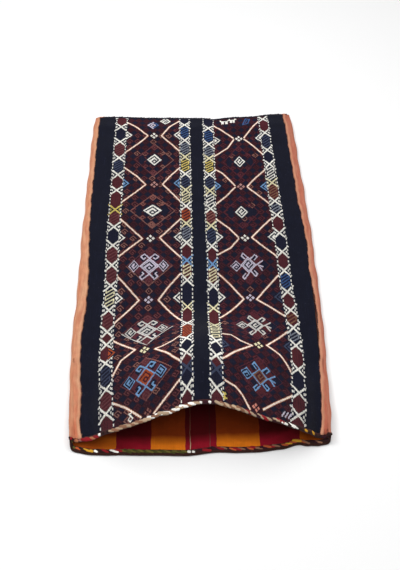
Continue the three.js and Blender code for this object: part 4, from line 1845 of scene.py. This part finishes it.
@dataclass
class OvercastEdge:
    """An edge bound with long slanting stitches over a rolled core."""

    edge: Edge
    slot: str
    node: str
    core_colour: str
    stretches: Sequence[Stretch]
    pitch: float = 0.0105
    stitch: Triple = (0.0215, 0.0080, 0.0048)
    slant: float = 0.22
    width: float = 0.0122
    height: float = 0.0072
    lift: float = 0.0
    overlap: float = 0.0042
    aside: float = 0.12
    taper: float = 0.026
    ends: int = 1
    sides: int = 10
    finish: Wool = Wool("edge_core_wool", uneven=1.0, fineness=500.0, relief=0.6)

    def frames(self, shape: ClothShape, step: float) -> tuple[np.ndarray, ...]:
        """Frames along the edge.

        Args:
            shape: The sack's form.
            step: Distance between two frames.

        Returns:
            Distances from the middle, points, and the directions along the edge, off it and out.
        """
        lip = shape.sample(np.linspace(1, 2, 60), np.full(60, shape.length))[0]
        side = float(np.linalg.norm(np.diff(lip, axis=0), axis=1).sum())
        reach = shape.half + (side / 2 - 0.001 if self.edge is not Edge.BOTTOM else -0.002)
        s = np.linspace(-reach, reach, round(2 * reach / step) + 1)
        far = np.abs(s)
        around = np.where(far < shape.half, far / shape.half, 1 + (far - shape.half) / side)
        if self.edge is Edge.BACK_LIP:
            around = 3 - around
        place = np.where(s < 0, -around, around)
        end = 0.0 if self.edge is Edge.BOTTOM else shape.length
        at, across, along, out = shape.sample(place, np.full(len(s), end))
        if self.edge is Edge.BOTTOM:
            mid = shape.back_cloth / 2 + (shape.front_cloth + shape.clearance) / 2
            at = np.stack([at[:, 0], at[:, 1], np.full(len(s), mid)], -1)
            across = np.tile((1.0, 0.0, 0.0), (len(s), 1))
            along = np.tile((0.0, 1.0, 0.0), (len(s), 1))
            out = np.tile((0.0, 0.0, 1.0), (len(s), 1))
        if self.edge is Edge.BACK_LIP:
            out, across = -out, -across
        at = at + along * (self.width / 2 - self.overlap) + out * self.lift
        return s, at, across, along, out

    def build(self, shape: ClothShape, layer: YarnLayer, groups: WoolGroups) -> list[bpy.types.Object]:
        """Builds the core and lays the stitches.

        Args:
            shape: The sack's form.
            layer: What lays the yarn.
            groups: Shared shader groups.

        Returns:
            The core and the stitches.
        """
        s, at, across, along, out = self.frames(shape, 0.005)
        slim = np.sqrt(np.clip((np.abs(s).max() - np.abs(s)) / self.taper, 0.02, 1))[:, None, None]
        angle = np.linspace(0, 2 * math.pi, self.sides, endpoint=False)
        off = along[:, None] * np.cos(angle)[None, :, None] * self.width / 2
        up = out[:, None] * np.sin(angle)[None, :, None] * self.height / 2
        flip = np.einsum("ij,ij->i", np.cross(along, out), across).mean() < 0
        rings = at[:, None] + (off + up) * slim
        core = tube(f"{self.edge.value}_core", rings if flip else rings[:, ::-1])
        wool = plain_wool(groups, self.finish, self.core_colour)
        finish_piece(core, [self.node], wool)
        s, at, across, along, out = (
            values[self.ends : -self.ends] for values in self.frames(shape, self.pitch)
        )
        rng = np.random.default_rng(len(self.edge.value))
        stops = np.array([stretch.end for stretch in self.stretches])
        picks = np.minimum(np.searchsorted(stops, s / MM), len(stops) - 1)
        here = [self.stretches[pick] for pick in picks]
        yarns = [stretch.yarns[k % len(stretch.yarns)] for k, stretch in enumerate(here)]
        longer = np.array([stretch.longer for stretch in here])
        size = np.tile(self.stitch, (len(s), 1)) * rng.normal(1, 0.08, (len(s), 1)).clip(0.8, 1.2)
        size[:, 0] *= longer
        slant = rng.normal(self.slant, 0.05, (len(s), 1))
        loose = rng.normal(0, 0.0006, (len(s), 1))
        at = at + out * self.height * 0.36 + along * (self.width * self.aside + loose)
        stitches = layer.lay(
            f"{self.edge.value}_overcast", at, out, across + along * slant, size, yarns, 60 + len(self.node)
        )
        return [core, finish_piece(stitches)]


@dataclass
class Studio:
    """Pale floor, soft light and a camera at the photograph's angle."""

    pitch_deg: float = 56.87
    yaw_deg: float = 2.40
    roll_deg: float = 1.35
    distance: float = 1.683
    focal_px: float = 595.7
    target: Triple = (0.0053, -0.1050, 0.0)
    frame_px: tuple[int, int] = (400, 570)

    def build(self) -> None:
        """Builds floor, lights and camera."""
        self._floor()
        self._light("overhead", (0.0, 0.2, 3.0), (0.0, 0.2, 0.0), 5.0, 155)
        self._light("key", (-1.7, 0.3, 2.5), (0.0, 0.0, 0.0), 1.0, 22)
        world = bpy.data.worlds.new("studio")
        world.use_nodes = True
        world.node_tree.nodes["Background"].inputs[0].default_value = (1.0, 1.0, 1.0, 1.0)
        world.node_tree.nodes["Background"].inputs[1].default_value = 0.08
        bpy.context.scene.world = world
        bpy.context.scene.view_settings.view_transform = "Standard"
        self._camera()

    @staticmethod
    def _floor() -> None:
        """A wide pale floor."""
        size = 14.0
        corners = [(-size, -size, 0), (size, -size, 0), (size, size, 0), (-size, size, 0)]
        floor = new_piece("floor", np.array(corners), [[0, 1, 2, 3]])
        material = bpy.data.materials.new("pale_floor")
        material.use_nodes = True
        shader = material.node_tree.nodes["Principled BSDF"]
        shader.inputs["Base Color"].default_value = (0.93, 0.93, 0.93, 1.0)
        shader.inputs["Roughness"].default_value = 0.9
        floor.data.materials.append(material)

    @staticmethod
    def _light(name: str, at: Triple, target: Triple, size: float, power: float) -> None:
        """A square soft light that points at a target."""
        data = bpy.data.lights.new(name, "AREA")
        data.size, data.energy = size, power
        lamp = bpy.data.objects.new(name, data)
        lamp.location = at
        lamp.rotation_euler = (Vector(target) - Vector(at)).to_track_quat("-Z", "Y").to_euler()
        bpy.context.collection.objects.link(lamp)

    def _camera(self) -> None:
        """The camera, from its angles, distance and focal length."""
        pitch, yaw, roll = (math.radians(a) for a in (self.pitch_deg, self.yaw_deg, self.roll_deg))
        ahead = Vector(
            (math.cos(pitch) * math.sin(yaw), math.cos(pitch) * math.cos(yaw), -math.sin(pitch))
        )
        right = Vector((math.cos(yaw), -math.sin(yaw), 0.0))
        up = right.cross(ahead)
        right, up = (
            math.cos(roll) * right + math.sin(roll) * up,
            math.cos(roll) * up - math.sin(roll) * right,
        )
        data = bpy.data.cameras.new("camera")
        data.sensor_width = 36.0
        data.lens = self.focal_px / max(self.frame_px) * data.sensor_width
        camera = bpy.data.objects.new("camera", data)
        turn = Matrix((right, up, -ahead)).transposed().to_4x4()
        camera.matrix_world = Matrix.Translation(Vector(self.target) - ahead * self.distance) @ turn
        bpy.context.collection.objects.link(camera)
        bpy.context.scene.camera = camera


LEFT_SEAM: Knots = (
    (0, 320), (150, 321), (380, 321), (460, 319), (560, 314), (700, 310), (770, 309), (860, 315), (960, 312),
    (1130, 311),
)
RIGHT_SEAM: Knots = (
    (0, 311), (100, 313), (300, 314), (380, 313), (450, 317), (560, 321), (650, 319), (720, 323), (800, 325),
    (900, 322), (1000, 320), (1100, 316), (1130, 315),
)


def overcast_edges() -> tuple[OvercastEdge, OvercastEdge, OvercastEdge]:
    """The front lip, the back lip and the bottom, with the yarns along each from left to right."""
    tan, brown, wine, straw = Yarn.TAN, Yarn.BROWN, Yarn.WINE, Yarn.STRAW
    red, earth, gold, orange = Yarn.RED, Yarn.EARTH, Yarn.GOLD, Yarn.ORANGE
    front_lip = OvercastEdge(
        Edge.FRONT_LIP, "lip_yarn", "front_lip_binding", "3d2122",
        (
            Stretch(-305, (red, tan, Yarn.BRICK), 0.5), Stretch(-265, (red, red, tan)),
            Stretch(-236, (earth, WHITE, earth), 0.4), Stretch(-146, (straw, brown)),
            Stretch(-6, (WHITE, brown, WHITE, straw)), Stretch(32, (WHITE, wine), 0.4),
            Stretch(105, (straw, brown)), Stretch(200, (straw, wine, straw, red)),
            Stretch(256, (WHITE, WHITE, earth)), Stretch(308, (gold, earth), 0.6),
            Stretch(400, (earth, wine), 0.45),
        ),
    )
    back_lip = OvercastEdge(
        Edge.BACK_LIP, "back_lip_yarn", "back_lip_binding", "341d18",
        (
            Stretch(-300, (earth, Yarn.OLIVE), 0.5), Stretch(-262, (gold, orange, earth)),
            Stretch(-246, (WHITE, gold), 0.5), Stretch(-218, (red, earth)),
            Stretch(-190, (WHITE, red)), Stretch(-32, (Yarn.OLIVE, Yarn.MOSS)),
            Stretch(-18, (WHITE, WHITE), 0.4), Stretch(50, (red, earth, wine)),
            Stretch(188, (red, brown, wine, orange)), Stretch(246, (gold, orange)),
            Stretch(300, (earth, wine, brown)), Stretch(400, (earth, wine), 0.5),
        ),
        stitch=(0.0205, 0.0072, 0.0036), width=0.0150, height=0.0064, lift=0.0019, aside=-0.14,
    )
    ends = (Yarn.SALMON, tan)
    bottom = OvercastEdge(
        Edge.BOTTOM, "bottom_yarn", "bottom_seam", "151624",
        (Stretch(-306, ends), Stretch(306, (NAVY, NAVY, wine)), Stretch(400, ends)),
        pitch=0.009, stitch=(0.0120, 0.0036, 0.0024), width=0.0062, height=0.0066, overlap=0.0, taper=0.004,
    )
    return front_lip, back_lip, bottom


def main() -> None:
    """Builds the sack and the studio."""
    shape = ClothShape()
    groups = WoolGroups()
    wool = laid_yarn_wool(groups, Wool("laid_wool_yarn", uneven=0.7, fineness=1100.0, relief=0.3))
    ribs = YarnLayer(rib_shape(), wool)
    floats = YarnLayer(float_shape(), wool)
    stitches = YarnLayer(stitch_shape(), wool, 0.08)
    front = FrontCloth().build(shape, groups)
    brocade = Brocade().build(shape, ribs, floats)
    back = BackCloth().build(shape, groups)
    left = SideStrip(Panel.LEFT, LEFT_SEAM)
    right = SideStrip(Panel.RIGHT, RIGHT_SEAM, ("bd6c55", "cc8b72", "aa503f"))
    strips = [strip.build(shape, strip.wool(groups)) for strip in (left, right)]
    seams = [FrontSeam(strip).build(shape, floats) for strip in (left, right)]
    front_lip, back_lip, bottom = (edge.build(shape, stitches, groups) for edge in overcast_edges())
    Studio().build()


if __name__ == "__main__":
    main()
